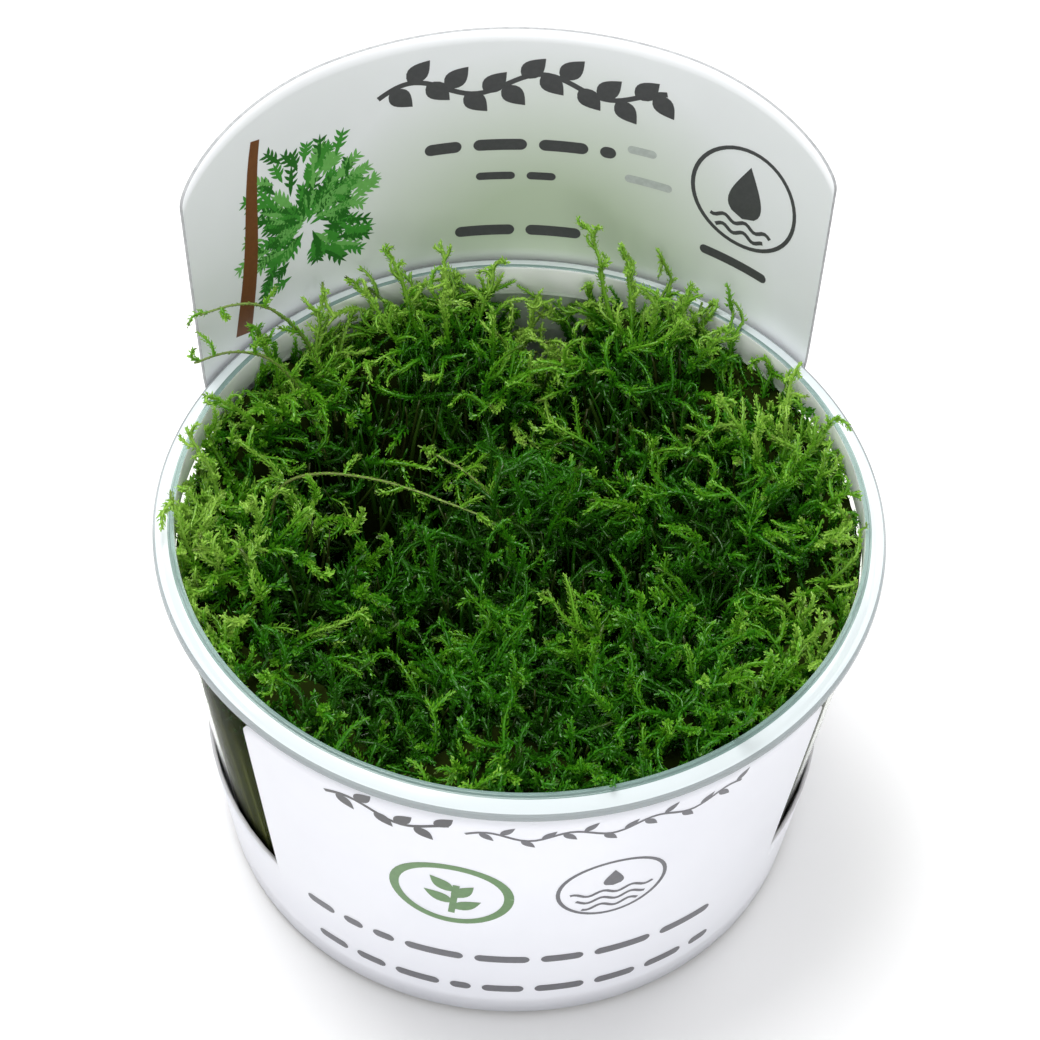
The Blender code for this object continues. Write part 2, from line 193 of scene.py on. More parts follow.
class Nodes:
    """Short calls for building a material's nodes."""

    def __init__(self, name):
        self.material = bpy.data.materials.new(name)
        self.material.use_nodes = True
        self.tree = self.material.node_tree
        self.shader = self.tree.nodes["Principled BSDF"]

    def new(self, kind, **inputs):
        node = self.tree.nodes.new(kind)
        for key, value in inputs.items():
            self.put(node, key.replace("_", " "), value)
        return node

    def put(self, node, key, value):
        if isinstance(value, bpy.types.NodeSocket):
            self.tree.links.new(value, node.inputs[key])
        else:
            node.inputs[key].default_value = value

    def set(self, **inputs):
        for key, value in inputs.items():
            self.put(self.shader, key.replace("_", " "), value)

    def maths(self, operation, *values):
        node = self.tree.nodes.new("ShaderNodeMath")
        node.operation = operation
        for i, value in enumerate(values):
            self.put(node, i, value)
        return node.outputs[0]

    def ramp(self, factor, *stops):
        node = self.tree.nodes.new("ShaderNodeValToRGB")
        self.put(node, 0, factor)
        elements = node.color_ramp.elements
        while len(elements) < len(stops):
            elements.new(0.5)
        for element, (place, colour) in zip(elements, stops):
            element.position = place
            element.color = (*colour, 1.0)
        return node.outputs[0]

    def attribute(self, name):
        node = self.tree.nodes.new("ShaderNodeAttribute")
        node.attribute_name = name
        return node.outputs["Fac"]

    def coordinate(self, kind):
        return self.tree.nodes.new("ShaderNodeTexCoord").outputs[kind]

    def noise(self, scale, detail):
        place = self.coordinate("Object")
        node = self.new("ShaderNodeTexNoise", Vector=place, Scale=scale, Detail=detail, Roughness=0.5)
        return node.outputs[0]

    def mix(self, factor, first, second):
        node = self.tree.nodes.new("ShaderNodeMix")
        node.data_type = "RGBA"
        self.put(node, 0, factor)
        for index, value in ((6, first), (7, second)):
            if isinstance(value, tuple):
                value = (*value, 1.0)
            self.put(node, index, value)
        return node.outputs[2]

    def share(self, value, low, high):
        """0 below low, 1 above high."""
        node = self.tree.nodes.new("ShaderNodeMapRange")
        for index, setting in enumerate((value, low, high)):
            self.put(node, index, setting)
        return node.outputs[0]

    def height_share(self, low, high):
        """0 below low and 1 above high, in the piece's own Z."""
        apart = self.new("ShaderNodeSeparateXYZ", Vector=self.coordinate("Object"))
        return self.share(apart.outputs[2], low, high)

    def bump(self, height, strength, distance):
        node = self.new("ShaderNodeBump", Height=height, Strength=strength, Distance=distance)
        self.tree.links.new(node.outputs[0], self.shader.inputs["Normal"])


def clear_plastic(name, colour, transmission, roughness, ior, ripple):
    """Moulded plastic. Where it has a ripple, its roughness is a little uneven too."""
    n = Nodes(name)
    n.set(Base_Color=(*colour, 1.0), Transmission_Weight=transmission, IOR=ior, Roughness=roughness)
    if ripple:
        haze = n.noise(60.0, 3.0)
        n.set(Roughness=n.maths("MULTIPLY_ADD", haze, 0.06, roughness))
        n.bump(n.noise(900.0, 2.0), ripple, 0.0001)
    return n.material


def card_stock():
    """Card, darker on the front panel and paler on the header to even out the light each gets, with
    painted green shade on the header beside the moss, and a darker plain colour on the header's back as
    painted shade.
    """
    n = Nodes("printed_card")
    tint = n.noise(35.0, 3.0)
    # Front panel's colour, darker, and the header's, named grey but paler: painted light that evens out
    # the more light the panel gets from the floor
    white = n.ramp(tint, (0.3, (0.78, 0.79, 0.85)), (0.7, (0.83, 0.84, 0.89)))
    grey = n.ramp(tint, (0.3, (0.86, 0.88, 0.9)), (0.7, (0.91, 0.93, 0.95)))
    apart = n.tree.nodes.new("ShaderNodeVectorMath")
    apart.operation = "DISTANCE"
    n.put(apart, 0, n.coordinate("Object"))
    n.put(apart, 1, PAINTED_MOSS_SHADE_PLACE)
    out_of_painted_shade = n.share(apart.outputs["Value"], *PAINTED_MOSS_SHADE_REACH)
    # Painted shade, tinted green by the moss, on the header's lower middle
    header = n.mix(out_of_painted_shade, (0.54, 0.63, 0.48), grey)
    # Panel colour below, header colour above: painted light
    front = n.mix(n.height_share(*HEADER_PAINTED_LIGHT_Z), white, header)
    # The header's back gets a darker plain grey: painted shade against the strong back light
    facing = n.new("ShaderNodeSeparateXYZ", Vector=n.coordinate("Normal")).outputs[1]
    n.set(Base_Color=n.mix(n.share(facing, 0.1, 0.6), front, (0.64, 0.65, 0.68)))
    n.set(Roughness=n.maths("MULTIPLY_ADD", tint, 0.12, 0.26))
    n.bump(n.noise(2500.0, 2.0), 0.04, 0.00005)
    return n.material


def card_edge():
    n = Nodes("card_edge")
    fibre = n.noise(1200.0, 3.0)
    grey = n.ramp(fibre, (0.35, (0.36, 0.37, 0.38)), (0.65, (0.46, 0.47, 0.48)))
    n.set(Base_Color=n.mix(n.height_share(0.02, 0.05), (0.7, 0.7, 0.72), grey), Roughness=0.8)
    return n.material


def ink(name, colour):
    n = Nodes(name)
    speck = n.noise(1500.0, 2.0)
    darker = tuple(channel * 0.88 for channel in colour)
    n.set(Base_Color=n.ramp(speck, (0.35, darker), (0.65, colour)), Roughness=0.35)
    return n.material


LEAF_TRANSLUCENCY = 0.22


def moss_material():
    """Green by the tone of each leaf, partly its own colour and partly painted shade deeper in the moss,
    and brown where its tip is old.
    """
    n = Nodes("moss")
    green = n.ramp(
        n.attribute("tone"),
        (0.0, (0.026, 0.07, 0.006)),
        (0.25, (0.022, 0.122, 0.004)),
        (0.5, (0.037, 0.222, 0.0045)),
        (0.75, (0.136, 0.395, 0.014)),
        (1.0, (0.355, 0.61, 0.085)),
    )
    colour = n.mix(n.attribute("brown"), green, (0.045, 0.045, 0.012))
    n.set(Base_Color=colour, Roughness=0.28, Specular_IOR_Level=0.45)
    translucent = n.new("ShaderNodeBsdfTranslucent", Color=colour)
    blend = n.tree.nodes.new("ShaderNodeMixShader")
    for index, value in enumerate((LEAF_TRANSLUCENCY, n.shader.outputs[0], translucent.outputs[0])):
        n.put(blend, index, value)
    n.tree.links.new(blend.outputs[0], n.tree.nodes["Material Output"].inputs[0])
    return n.material


def deep_material():
    """The matted old stems below the living shoots: their own dark olive, with painted shade in the lowest
    tones.
    """
    n = Nodes("moss_deep")
    olive = n.ramp(
        n.attribute("tone"),
        (0.0, (0.012, 0.019, 0.003)),
        (0.5, (0.05, 0.056, 0.012)),
        (0.75, (0.13, 0.15, 0.04)),
        (1.0, (0.22, 0.31, 0.1)),
    )
    n.set(Base_Color=olive, Roughness=0.8, Specular_IOR_Level=0.0)
    return n.material


# Cup

# Its plastics: name, colour, transmission, roughness, index of refraction, ripple
PLASTICS = (
    ("clear_plastic", (0.95, 0.97, 0.92), 1.0, 0.0, 1.01, 0),
    # Dark teal on the crest: painted reflection of the dark moss in the clear plastic
    ("crest_painted_reflection", (0.24, 0.36, 0.33), 0.35, 0.1, 1.4, 0.04),
    # Pale and partly diffuse on the flange: painted light standing in for the white floor and lamps seen
    # through and in the clear plastic
    ("rim_painted_light", (0.83, 0.9, 0.92), 0.28, 0.12, 1.4, 0.04),
    # Opaque white neck: painted highlight where the clear plastic reflects the lamps
    ("neck_painted_highlight", (0.99, 1.0, 1.0), 0.0, 0.25, 1.49, 0.04),
    # Grey on the flange's outer edge: painted shadow line under the flange
    ("rim_edge_painted_shadow", (0.4, 0.44, 0.45), 0.35, 0.15, 1.49, 0.04),
    # Grey-green on the inner wall's back: painted light standing in for the lit card seen through the
    # clear wall
    ("back_wall_painted_light", (0.68, 0.76, 0.66), 0.3, 0.3, 1.1, 0.04),
)
WALL, CREST, RIM, NECK, EDGE_SHADOW, BACK_WALL_LIGHT = range(len(PLASTICS))


def cup_profile():
    """Radius and height, from the middle of the floor up the inside, over the rim and down the outside."""
    foot_z = FLOOR_THICKNESS + INNER_ROUND
    foot_radius = float(wall_inner(foot_z))
    under_z = FLANGE_EDGE_Z - FLANGE_EDGE_DROP
    rising = (*np.linspace(foot_z, foot_z + 0.001, 3), *np.linspace(0.01, LEDGE_Z - 0.001, 8))
    under = (under_z - 0.0003, under_z - 0.0009)
    falling = (*under, *np.linspace(0.05, 0.008, 8), FOOT_ROUND * 3, FOOT_ROUND * 2)
    return [
        (0.0, FLOOR_THICKNESS),
        (foot_radius - INNER_ROUND, FLOOR_THICKNESS),
        (foot_radius - INNER_ROUND * 0.3, FLOOR_THICKNESS + INNER_ROUND * 0.3),
        *[(float(wall_inner(z)), z) for z in rising],
        (LEDGE_RADIUS + 0.0002, LEDGE_Z - 0.0002),
        (LEDGE_RADIUS, LEDGE_Z),
        (NECK_RADIUS, LEDGE_Z + 0.0004),
        (NECK_RADIUS - 0.00001, LEDGE_Z + 0.0008),
        (CREST_RADIUS, CREST_Z - 0.0004),
        (CREST_RADIUS + 0.0001, CREST_Z - 0.0001),
        (CREST_RADIUS + 0.0003, CREST_Z),
        (CREST_RADIUS + 0.0006, CREST_Z - 0.00003),
        (CREST_RADIUS + 0.00075, CREST_Z - 0.0003),
        (CREST_RADIUS + 0.001, CREST_Z - 0.00035),
        (FLANGE_RADIUS - 0.0004, FLANGE_EDGE_Z + 0.0001),
        (FLANGE_RADIUS - 0.0001, FLANGE_EDGE_Z - 0.00005),
        (FLANGE_RADIUS, FLANGE_EDGE_Z - 0.0003),
        (FLANGE_RADIUS, under_z + 0.0001),
        (FLANGE_RADIUS - 0.0003, under_z - 0.0001),
        (wall_outer(under_z) + 0.0003, under_z + 0.0002),
        *[(wall_outer(z), z) for z in falling],
        (BASE_RADIUS - FOOT_ROUND * 0.15, FOOT_ROUND * 0.8),
        (BASE_RADIUS - FOOT_ROUND * 0.7, FOOT_ROUND * 0.2),
        (BASE_RADIUS - FOOT_ROUND * 1.4, 0.0),
        (0.0, 0.0),
    ]


def plastic_at(radius, y, z):
    if z > LEDGE_Z + 0.0005:
        if radius > FLANGE_RADIUS - 0.0003:
            return EDGE_SHADOW
        if radius < CREST_RADIUS + 0.0001:
            return NECK
        return RIM if radius > RIM_PAINTED_FROM_RADIUS else CREST
    inside = radius < wall_outer(z) - WALL_THICKNESS / 2
    return BACK_WALL_LIGHT if inside and z > PAINTED_WALL_FROM_Z and y > PAINTED_WALL_FROM_Y else WALL


def build_cup():
    profile = cup_profile()
    count = len(profile)
    vertices = [(0, 0, profile[0][1])]
    for step in range(CUP_STEPS):
        angle = 2 * pi * step / CUP_STEPS
        vertices += [(r * cos(angle), r * sin(angle), z) for r, z in profile[1:-1]]
    vertices.append((0, 0, profile[-1][1]))
    row = count - 2
    faces = []
    for step in range(CUP_STEPS):
        here, there = 1 + step * row, 1 + (step + 1) % CUP_STEPS * row
        faces.append((0, here, there))
        for i in range(row - 1):
            faces.append((here + i, here + i + 1, there + i + 1, there + i))
        faces.append((here + row - 1, len(vertices) - 1, there + row - 1))
    mesh = bpy.data.meshes.new("clear_cup")
    mesh.from_pydata(vertices, [], faces)
    mesh.shade_smooth()
    mesh.set_sharp_from_angle(angle=radians(38))
    cup = link("clear_cup", mesh, *[clear_plastic(*plastic) for plastic in PLASTICS])
    for face in mesh.polygons:
        face.material_index = plastic_at(face.center.xy.length, face.center.y, face.center.z)
    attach(cup, "root")
    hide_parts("cup")
    return cup


def link(name, mesh, *materials):
    obj = bpy.data.objects.new(name, mesh)
    for material in materials:
        mesh.materials.append(material)
    bpy.context.scene.collection.objects.link(obj)
    return obj


# Card sleeve


def corner_drop(distance, width, height):
    """How far a round corner lies below the sheet's top, at a distance from its side."""
    share = max(width - distance, 0.0) / width
    return height * (1 - sqrt(max(1 - share * share, 0.0)))


def card_radius(z, header):
    """Radius of the middle of the card. header is 1 in the header's part of the sheet, else 0."""
    radius = wall_outer(z) + CARD_GAP + CARD_THICKNESS / 2
    return radius + header * HEADER_STANDOFF * smooth_share(z, STANDOFF_START_Z, STANDOFF_END_Z)


def panel_top(offset):
    distance = (PANEL_HALF_WIDTH - abs(offset)) * wall_outer(PANEL_TOP_Z)
    return PANEL_TOP_Z - corner_drop(distance, PANEL_CORNER, PANEL_CORNER)


def header_top(offset):
    distance = (HEADER_HALF_WIDTH - abs(offset)) * card_radius(HEADER_TOP_Z, 1)
    droop = HEADER_TOP_DROOP * (offset / HEADER_HALF_WIDTH) ** 2
    return HEADER_TOP_Z - droop - corner_drop(distance, HEADER_CORNER_WIDTH, HEADER_CORNER_HEIGHT)


def header_angle(offset, z):
    """Angle of a header's column at a height: the header grows narrower towards its top."""
    share = max(z - HEADER_TAPER_START_Z, 0.0) / (HEADER_TOP_Z - HEADER_TAPER_START_Z)
    return pi - HEADER_CENTRE - offset * (1 - HEADER_TAPER * share)


def upright_columns(half_width, corner_angle):
    """Offsets across a panel: even steps, with finer ones where its corners turn down."""
    edge = [half_width - corner_angle * (1 - cos(radians(3 * i))) for i in range(7)]
    inner = edge[-1]
    count = int(2 * inner / CARD_STEP)
    middle = [inner - 2 * inner * i / count for i in range(1, count)]
    return [-offset for offset in edge + middle + [-offset for offset in reversed(edge)]]


def build_sleeve():
    """The card as a sheet of upright columns round the cup, with its thickness added to both sides."""
    columns = []
    for offset in upright_columns(PANEL_HALF_WIDTH, PANEL_CORNER / wall_outer(PANEL_TOP_Z)):
        columns.append((PANEL_CENTRE + offset, 0, panel_top(offset), offset))
    header = []
    for offset in upright_columns(HEADER_HALF_WIDTH, HEADER_CORNER_WIDTH / card_radius(HEADER_TOP_Z, 1)):
        header.append((header_angle(offset, 0.0), 1, header_top(offset), offset))
    header.sort(key=lambda column: column[0])
    for low, high in ((columns[-1][0], header[0][0]), (header[-1][0], columns[0][0] + 2 * pi)):
        window = [(angle, 0, None, 0.0) for angle in np.linspace(low, high, WINDOW_COLUMNS + 2)[1:-1]]
        columns = columns + window if low < pi else columns + header + window
    bm = bmesh.new()
    grid = []
    for angle, in_header, top, offset in columns:
        heights = [CARD_FOOT_Z + (BAND_TOP_Z - CARD_FOOT_Z) * i / BAND_ROWS for i in range(BAND_ROWS + 1)]
        if top is not None:
            rows = HEADER_ROWS if in_header else PANEL_ROWS
            heights += [BAND_TOP_Z + (top - BAND_TOP_Z) * i / rows for i in range(1, rows + 1)]
        ring = []
        for z in heights:
            radius = card_radius(z, in_header)
            turn = header_angle(offset, z) if in_header else angle
            ring.append(bm.verts.new((radius * sin(turn), -radius * cos(turn), z)))
        grid.append(ring)
    for i, ring in enumerate(grid):
        following = grid[(i + 1) % len(grid)]
        for row in range(min(len(ring), len(following)) - 1):
            bm.faces.new((ring[row], following[row], following[row + 1], ring[row + 1]))
    bmesh.ops.recalc_face_normals(bm, faces=bm.faces)
    mesh = bpy.data.meshes.new("card_sleeve")
    bm.to_mesh(mesh)
    bm.free()
    mesh.shade_smooth()
    sleeve = link("card_sleeve", mesh, card_stock(), card_edge())
    thicken = sleeve.modifiers.new("card", "SOLIDIFY")
    thicken.thickness = CARD_THICKNESS
    thicken.offset = 0.0
    thicken.use_even_offset = True
    thicken.material_offset_rim = 1
    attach(sleeve, "root")
    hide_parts("label_sleeve")
    return sleeve


# Print on the card. Shapes are strips in (arc, height) in mm, laid onto the card

INK_COLOURS = {
    "dark": (0.075, 0.075, 0.08),
    "grey": (0.125, 0.125, 0.14),
    "green": (0.12, 0.24, 0.09),
    "pale": (0.52, 0.56, 0.54),
    "brown": (0.18, 0.062, 0.022),
    "bark": (0.33, 0.13, 0.055),
    "fern_dark": (0.02, 0.15, 0.015),
    "fern": (0.055, 0.3, 0.035),
    "fern_light": (0.17, 0.48, 0.11),
}
FRONT_ARC_RADIUS = 45.0
HEADER_ARC_RADIUS = 50.0
FERN_FRONDS = 150
FERN_MIDDLE = (-33, 73)


class Print:
    """Flat coloured shapes a hair above the card."""

    def __init__(self, name, header):
        self.name = name
        self.header = header
        self.points = []
        self.faces = []
        self.inks = []
        self.used = []

    def strip(self, path, widths, ink):
        """A band along a path, as wide to each side as its widths say."""
        if ink not in self.used:
            self.used.append(ink)
        path = np.array(path, dtype=float)
        way = np.gradient(path, axis=0)
        way = way / np.maximum(np.hypot(way[:, 0], way[:, 1]), 1e-9)[:, None]
        across = np.stack([-way[:, 1], way[:, 0]], -1) * np.broadcast_to(widths, len(path))[:, None]
        start = len(self.points)
        for near, far in zip(path - across, path + across):
            self.points += [near, far]
        for i in range(len(path) - 1):
            low = start + 2 * i
            self.faces.append((low, low + 2, low + 3, low + 1))
            self.inks.append(self.used.index(ink))

    def bar(self, left, right, height, thick, ink):
        """A level bar with round ends."""
        round_end = thick / 2
        turn = np.radians(np.linspace(0, 90, 6))
        ends = round_end * (1 - np.cos(turn))
        middle = np.linspace(left + round_end, right - round_end, max(2, int((right - left) / 1.2)))
        along = np.concatenate([left + ends[:-1], middle, right - ends[-2::-1]])
        widths = np.full(len(along), round_end)
        widths[:5] = round_end * np.sin(turn[:-1]) + 0.01
        widths[-5:] = widths[:5][::-1]
        self.strip([(u, height) for u in along], widths, ink)

    def ring(self, u, v, radius, thick, ink):
        turn = np.linspace(0, 2 * pi, 49)
        self.strip(np.stack([u + radius * np.cos(turn), v + radius * np.sin(turn)], -1), thick / 2, ink)

    def leaf(self, u, v, angle, length, half_width, ink):
        share = np.linspace(0, 1, 9)
        path = [(u + length * t * cos(angle), v + length * t * sin(angle)) for t in share]
        self.strip(path, half_width * np.sin(pi * share**0.8) + 0.01, ink)

    def garland(self, left, right, height, leaf, half_width, ink):
        """A waving stem with leaves to both sides."""
        along = np.linspace(left, right, max(8, int((right - left) / 0.8)))
        wave = height + 0.35 * leaf * np.sin((along - left) / leaf * 1.6)
        self.strip(np.stack([along, wave], -1), 0.09 * leaf, ink)
        for i in range(2, len(along) - 1, 3):
            side = 1 if (i // 3) % 2 else -1
            self.leaf(along[i], wave[i], radians(48) * side, leaf, half_width, ink)

    def waves(self, left, right, height, swing, pitch, steps, half_width, ink):
        along = np.linspace(left, right, steps)
        self.strip(np.stack([along, height + swing * np.sin(along * pitch)], -1), half_width, ink)

    def drop(self, u, foot, height, half_width, steps, ink):
        share = np.linspace(0, 1, steps)
        widths = half_width * np.sin(pi * share**0.55) + 0.01
        self.strip([(u, foot + height * t) for t in share], widths, ink)

    def dashes(self, left, right, height, thick, rng, ink):
        """A row of short bars."""
        place = left
        while place < right - 2:
            length = min(rng.uniform(3.0, 8.5), right - place)
            self.bar(place, place + length, height, thick, ink)
            place += length + 1.6

    def place(self, u, v):
        z = v * MM
        face = CARD_THICKNESS / 2 + INK_LIFT
        if self.header:
            angle, radius = u / HEADER_ARC_RADIUS, card_radius(z, 1) - face
            return radius * sin(angle), radius * cos(angle), z
        angle, radius = u / FRONT_ARC_RADIUS, card_radius(z, 0) + face
        return radius * sin(angle), -radius * cos(angle), z

    def build(self):
        mesh = bpy.data.meshes.new(self.name)
        mesh.from_pydata([self.place(*point) for point in self.points], [], self.faces)
        mesh.polygons.foreach_set("material_index", self.inks)
        printed = link(self.name, mesh, *(INKS[name] for name in self.used))
        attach(printed, "root")


def print_front():
    rng = np.random.default_rng(SEED + 40)
    art = Print("print_front", False)
    art.garland(-23, -7, 53.2, 3.4, 0.95, "dark")
    art.garland(-5, 30, 53.0, 2.6, 0.55, "grey")
    sprout, pond = -7, 14
    art.ring(sprout, 35.5, 7.6, 1.3, "green")
    art.strip([(sprout + 0.1 * t, 30.2 + t) for t in np.linspace(0, 8, 9)], 0.45, "green")
    for i, angle in enumerate((35, 145, 52, 128)):
        art.leaf(sprout + 0.2, 31.5 + 1.6 * i, radians(angle), 4.6, 1.15, "green")
    art.ring(pond, 36.5, 7.2, 0.55, "grey")
    for row in range(3):
        left, right = pond - 5.6 + row * 0.9, pond + 5.6 - row * 0.9
        art.waves(left, right, 35.4 - row * 1.9, 0.5, 1.6, 24, 0.28, "grey")
    art.drop(pond, 37.0, 4.2, 1.35, 12, "grey")
    art.dashes(-30, 34, 17.4, 1.9, rng, "grey")
    art.dashes(-29, 33, 8.2, 1.9, rng, "grey")
    art.build()


def print_fern(art, rng):
    """Feathery fronds fanned out from one place, the darkest ones first."""
    shades = ("fern_dark", "fern", "fern_light")
    for number in range(FERN_FRONDS):
        turn = rng.uniform(-0.9, pi + 0.9)
        reach = rng.uniform(0.3, 10.0)
        u = FERN_MIDDLE[0] + 0.72 * reach * cos(turn) + rng.normal(0, 0.6)
        v = FERN_MIDDLE[1] + 1.15 * reach * sin(turn) + rng.normal(0, 0.6)
        length = rng.uniform(3.0, 5.5)
        shade = shades[number * len(shades) // FERN_FRONDS]
        angle = turn + rng.normal(0, 0.35)
        art.leaf(u, v, angle, length, 0.34, shade)
        for share in (0.3, 0.5, 0.7):
            spot = (u + length * share * cos(angle), v + length * share * sin(angle))
            for side in (-0.8, 0.8):
                art.leaf(*spot, angle + side, 1.5, 0.24, shade)


def print_header():
    rng = np.random.default_rng(SEED + 41)
    art = Print("print_header", True)
    art.garland(-21, 17, 89.6, 4.4, 1.45, "dark")
    art.dashes(-15, 11, 79.2, 1.9, rng, "dark")
    art.dashes(-8, 3, 73.8, 1.3, rng, "dark")
    art.dashes(-11, 7, 64.2, 1.8, rng, "dark")
    for row, height in enumerate((80.5, 75.5)):
        art.dashes(12.5, 19.5 + row, height, 1.3, rng, "pale")
    stick = np.linspace(0, 1, 14)
    path = [(-46 + 7.5 * t + 0.6 * sin(5 * t), 61 + 30 * t) for t in stick]
    art.strip(path, 1.6 * (1 - 0.55 * stick), "brown")
    art.strip([(u + 0.5, v) for u, v in path[1:-1]], 0.45 * (1 - 0.55 * stick[1:-1]), "bark")
    print_fern(art, rng)
    art.ring(30, 79.0, 8.0, 0.6, "dark")
    art.drop(30, 75.5, 9.0, 2.6, 14, "dark")
    for row in (0, 1):
        art.waves(25.2 + row, 34.8 - row, 74.6 - 1.7 * row, 0.4, 1.9, 22, 0.3, "dark")
    art.bar(24.5, 35.5, 67.6, 1.5, "dark")
    art.build()


# Moss


def unit(v):
    return v / np.maximum(np.linalg.norm(v, axis=-1, keepdims=True), 1e-12)


UP = np.array([0, 0, 1.0])


# Middle of the tuft, heights of its crown and its shoulder as in the CAD, brightness, size of its leaves
Tuft = namedtuple("Tuft", "middle crown shoulder bright leaf")
TUFTS = {
    "tuft_back_left": Tuft((-0.0295, 0.0205), 0.06, 0.05, 0.7, 1.0),
    "tuft_back": Tuft((-0.011, 0.031), 0.064, 0.048, 0.58, 0.95),
    "tuft_back_right": Tuft((0.017, 0.029), 0.065, 0.05, 0.58, 0.95),
    "tuft_right": Tuft((0.0335, 0.006), 0.063, 0.054, 0.64, 1.0),
    "tuft_front_right": Tuft((0.025, -0.023), 0.06, 0.053, 0.6, 1.05),
    "tuft_front": Tuft((-0.002, -0.03), 0.059, 0.052, 0.64, 1.1),
    "tuft_front_left": Tuft((-0.025, -0.025), 0.057, 0.051, 0.6, 1.05),
    "tuft_left": Tuft((-0.0335, -0.0035), 0.061, 0.053, 0.84, 1.25),
    "tuft_middle": Tuft((0.001, 0.0), 0.058, 0.05, 0.46, 1.0),
}
NAMES = list(TUFTS)
MIDDLES = np.array([tuft.middle for tuft in TUFTS.values()])
CROWNS = np.array([tuft.crown for tuft in TUFTS.values()])
SHOULDERS = np.array([tuft.shoulder for tuft in TUFTS.values()])
CROWN_REACH = 0.0165

# Height that the moss keeps along the wall, and how much higher it is at the back
RIM_SURFACE_Z = 0.056
BACK_RISE = 0.003
BACK_FROM_Y = 0.02

# Gap at the back, where the wall shows
GAP_X = 0.0015
GAP_RADIUS = 0.006

# Dark hollows between the tufts: where, how wide and how deep
HOLLOWS = (
    ((-0.024, 0.006), 0.0065, 0.026),
    ((-0.015, -0.016), 0.005, 0.02),
    ((-0.0225, -0.013), 0.0045, 0.018),
    ((0.002, 0.043), 0.0045, 0.016),
    ((-0.029, 0.037), 0.004, 0.012),
    ((-0.01, 0.015), 0.005, 0.01),
)

# Places where the moss stays lower and gets painted shade: where, how wide and long, how deep, how much
# painted shade
DEEPEST_PAINTED_SHADE = 0.26
DARK_PLACES = (
    ((-0.0185, 0.009), (0.012, 0.0135), 0.0095, DEEPEST_PAINTED_SHADE),
    ((-0.0165, -0.015), (0.008, 0.0125), 0.01, DEEPEST_PAINTED_SHADE),
    ((0.005, -0.001), (0.008, 0.0075), 0.006, 0.16),
)

# Where the shoots are paler or darker than their tuft, partly their own colour and partly painted light
# and shade, as on the paler back shoots that the header keeps from the back lamps: where, how wide and
# long, by how much
SHADES = (
    ((0.0, 0.04), (0.03, 0.014), 0.3),
    ((0.012, 0.019), (0.01, 0.008), 0.18),
    ((0.036, 0.02), (0.01, 0.014), 0.2),
    ((0.043, -0.012), (0.01, 0.02), 0.22),
    ((-0.043, -0.012), (0.01, 0.026), 0.13),
    ((-0.012, 0.032), (0.012, 0.01), 0.2),
    ((0.041, -0.02), (0.011, 0.012), 0.12),
    ((-0.04, -0.022), (0.01, 0.012), 0.15),
    ((-0.019, -0.006), (0.009, 0.019), -0.2),
    ((-0.005, 0.009), (0.009, 0.008), -0.2),
    ((0.01, -0.036), (0.018, 0.011), -0.27),
    ((-0.026, -0.024), (0.009, 0.011), -0.33),
    ((0.012, 0.032), (0.016, 0.008), 0.1),
)

# Tips of the long sprigs in mm, as in the CAD
SPRIG_TIPS = {
    "tuft_back_left": ((-39, 24, 70), (-29, 33, 68), (-44, 13, 67)),
    "tuft_back": ((-26, 35, 69), (-21, 39, 71), (-13, 42, 70), (-4, 42, 67), (-12, 34, 70)),
    "tuft_back_right": ((7, 43, 74), (13, 40, 72), (23, 36, 69), (29, 30, 67), (18, 33, 71)),
    "tuft_right": ((38, 21, 70), (43, 12, 69), (46, 3, 64), (45, -6, 64), (37, 6, 68)),
    "tuft_front_right": ((42, -18, 62), (28, -35, 62), (30, -20, 65)),
    "tuft_front": ((12, -45, 61.5), (-8, -44, 60), (1, -30, 64)),
    "tuft_front_left": ((-33, -31, 62), (-24, -37, 61)),
    "tuft_left": ((-46, 8, 66), (-46.5, -1, 64), (-43, -12, 64), (-36, -5, 66)),
    "tuft_middle": ((8, 6, 64), (-3, -5, 63)),
}

# Stems that stay nearly bare, in mm as in the CAD: two reach over the rim, two lie on the moss
BARE_STEMS = {
    "tuft_back_left": (
        ((-27, 25, 50), (-30, 27, 64), (-35, 26, 72), (-40, 24, 75), (-44.5, 19, 77)),
        ((-28, 19, 48), (-31, 21, 61), (-36, 21.5, 67), (-41, 20, 69), (-45.5, 16, 70)),
    ),
    "tuft_left": (
        (
            (-34.5, 3, 47), (-35, 6, 56), (-30, 7.2, 58.5), (-23.9, 6.8, 59),
            (-17, 5, 59), (-11.2, 3, 58.5), (-4.5, 0.5, 57.5),
        ),
    ),
    "tuft_middle": (((0, 3, 44), (-2.9, 5.8, 55.5), (-6.2, 8.4, 57.5), (-10, 11, 58), (-14.5, 14.5, 57)),),
}

# Shoots and leaves: radius of the stems, length, spacing and shape of the leaves
MAIN_STEM = 0.00042
SIDE_STEM = 0.00036
FILL_STEM = 0.00032
STEM_SIDES = 3
LEAF_LENGTH = 0.00084
FILL_LEAF_LENGTH = 0.0012
MAIN_LEAF_SPACING = 0.00018
SIDE_LEAF_SPACING = 0.00016
WALL_LEAF_SPACING = 0.0002
FILL_LEAF_SPACING = 0.00032
LEAF_WIDTH = 0.26
LEAF_LEAN = (36, 68)
SPIRAL = radians(137.5)
LENGTH_BUCKET = 0.0015

# Kinds of growth, by their material
LIVING, OLD = 0, 1


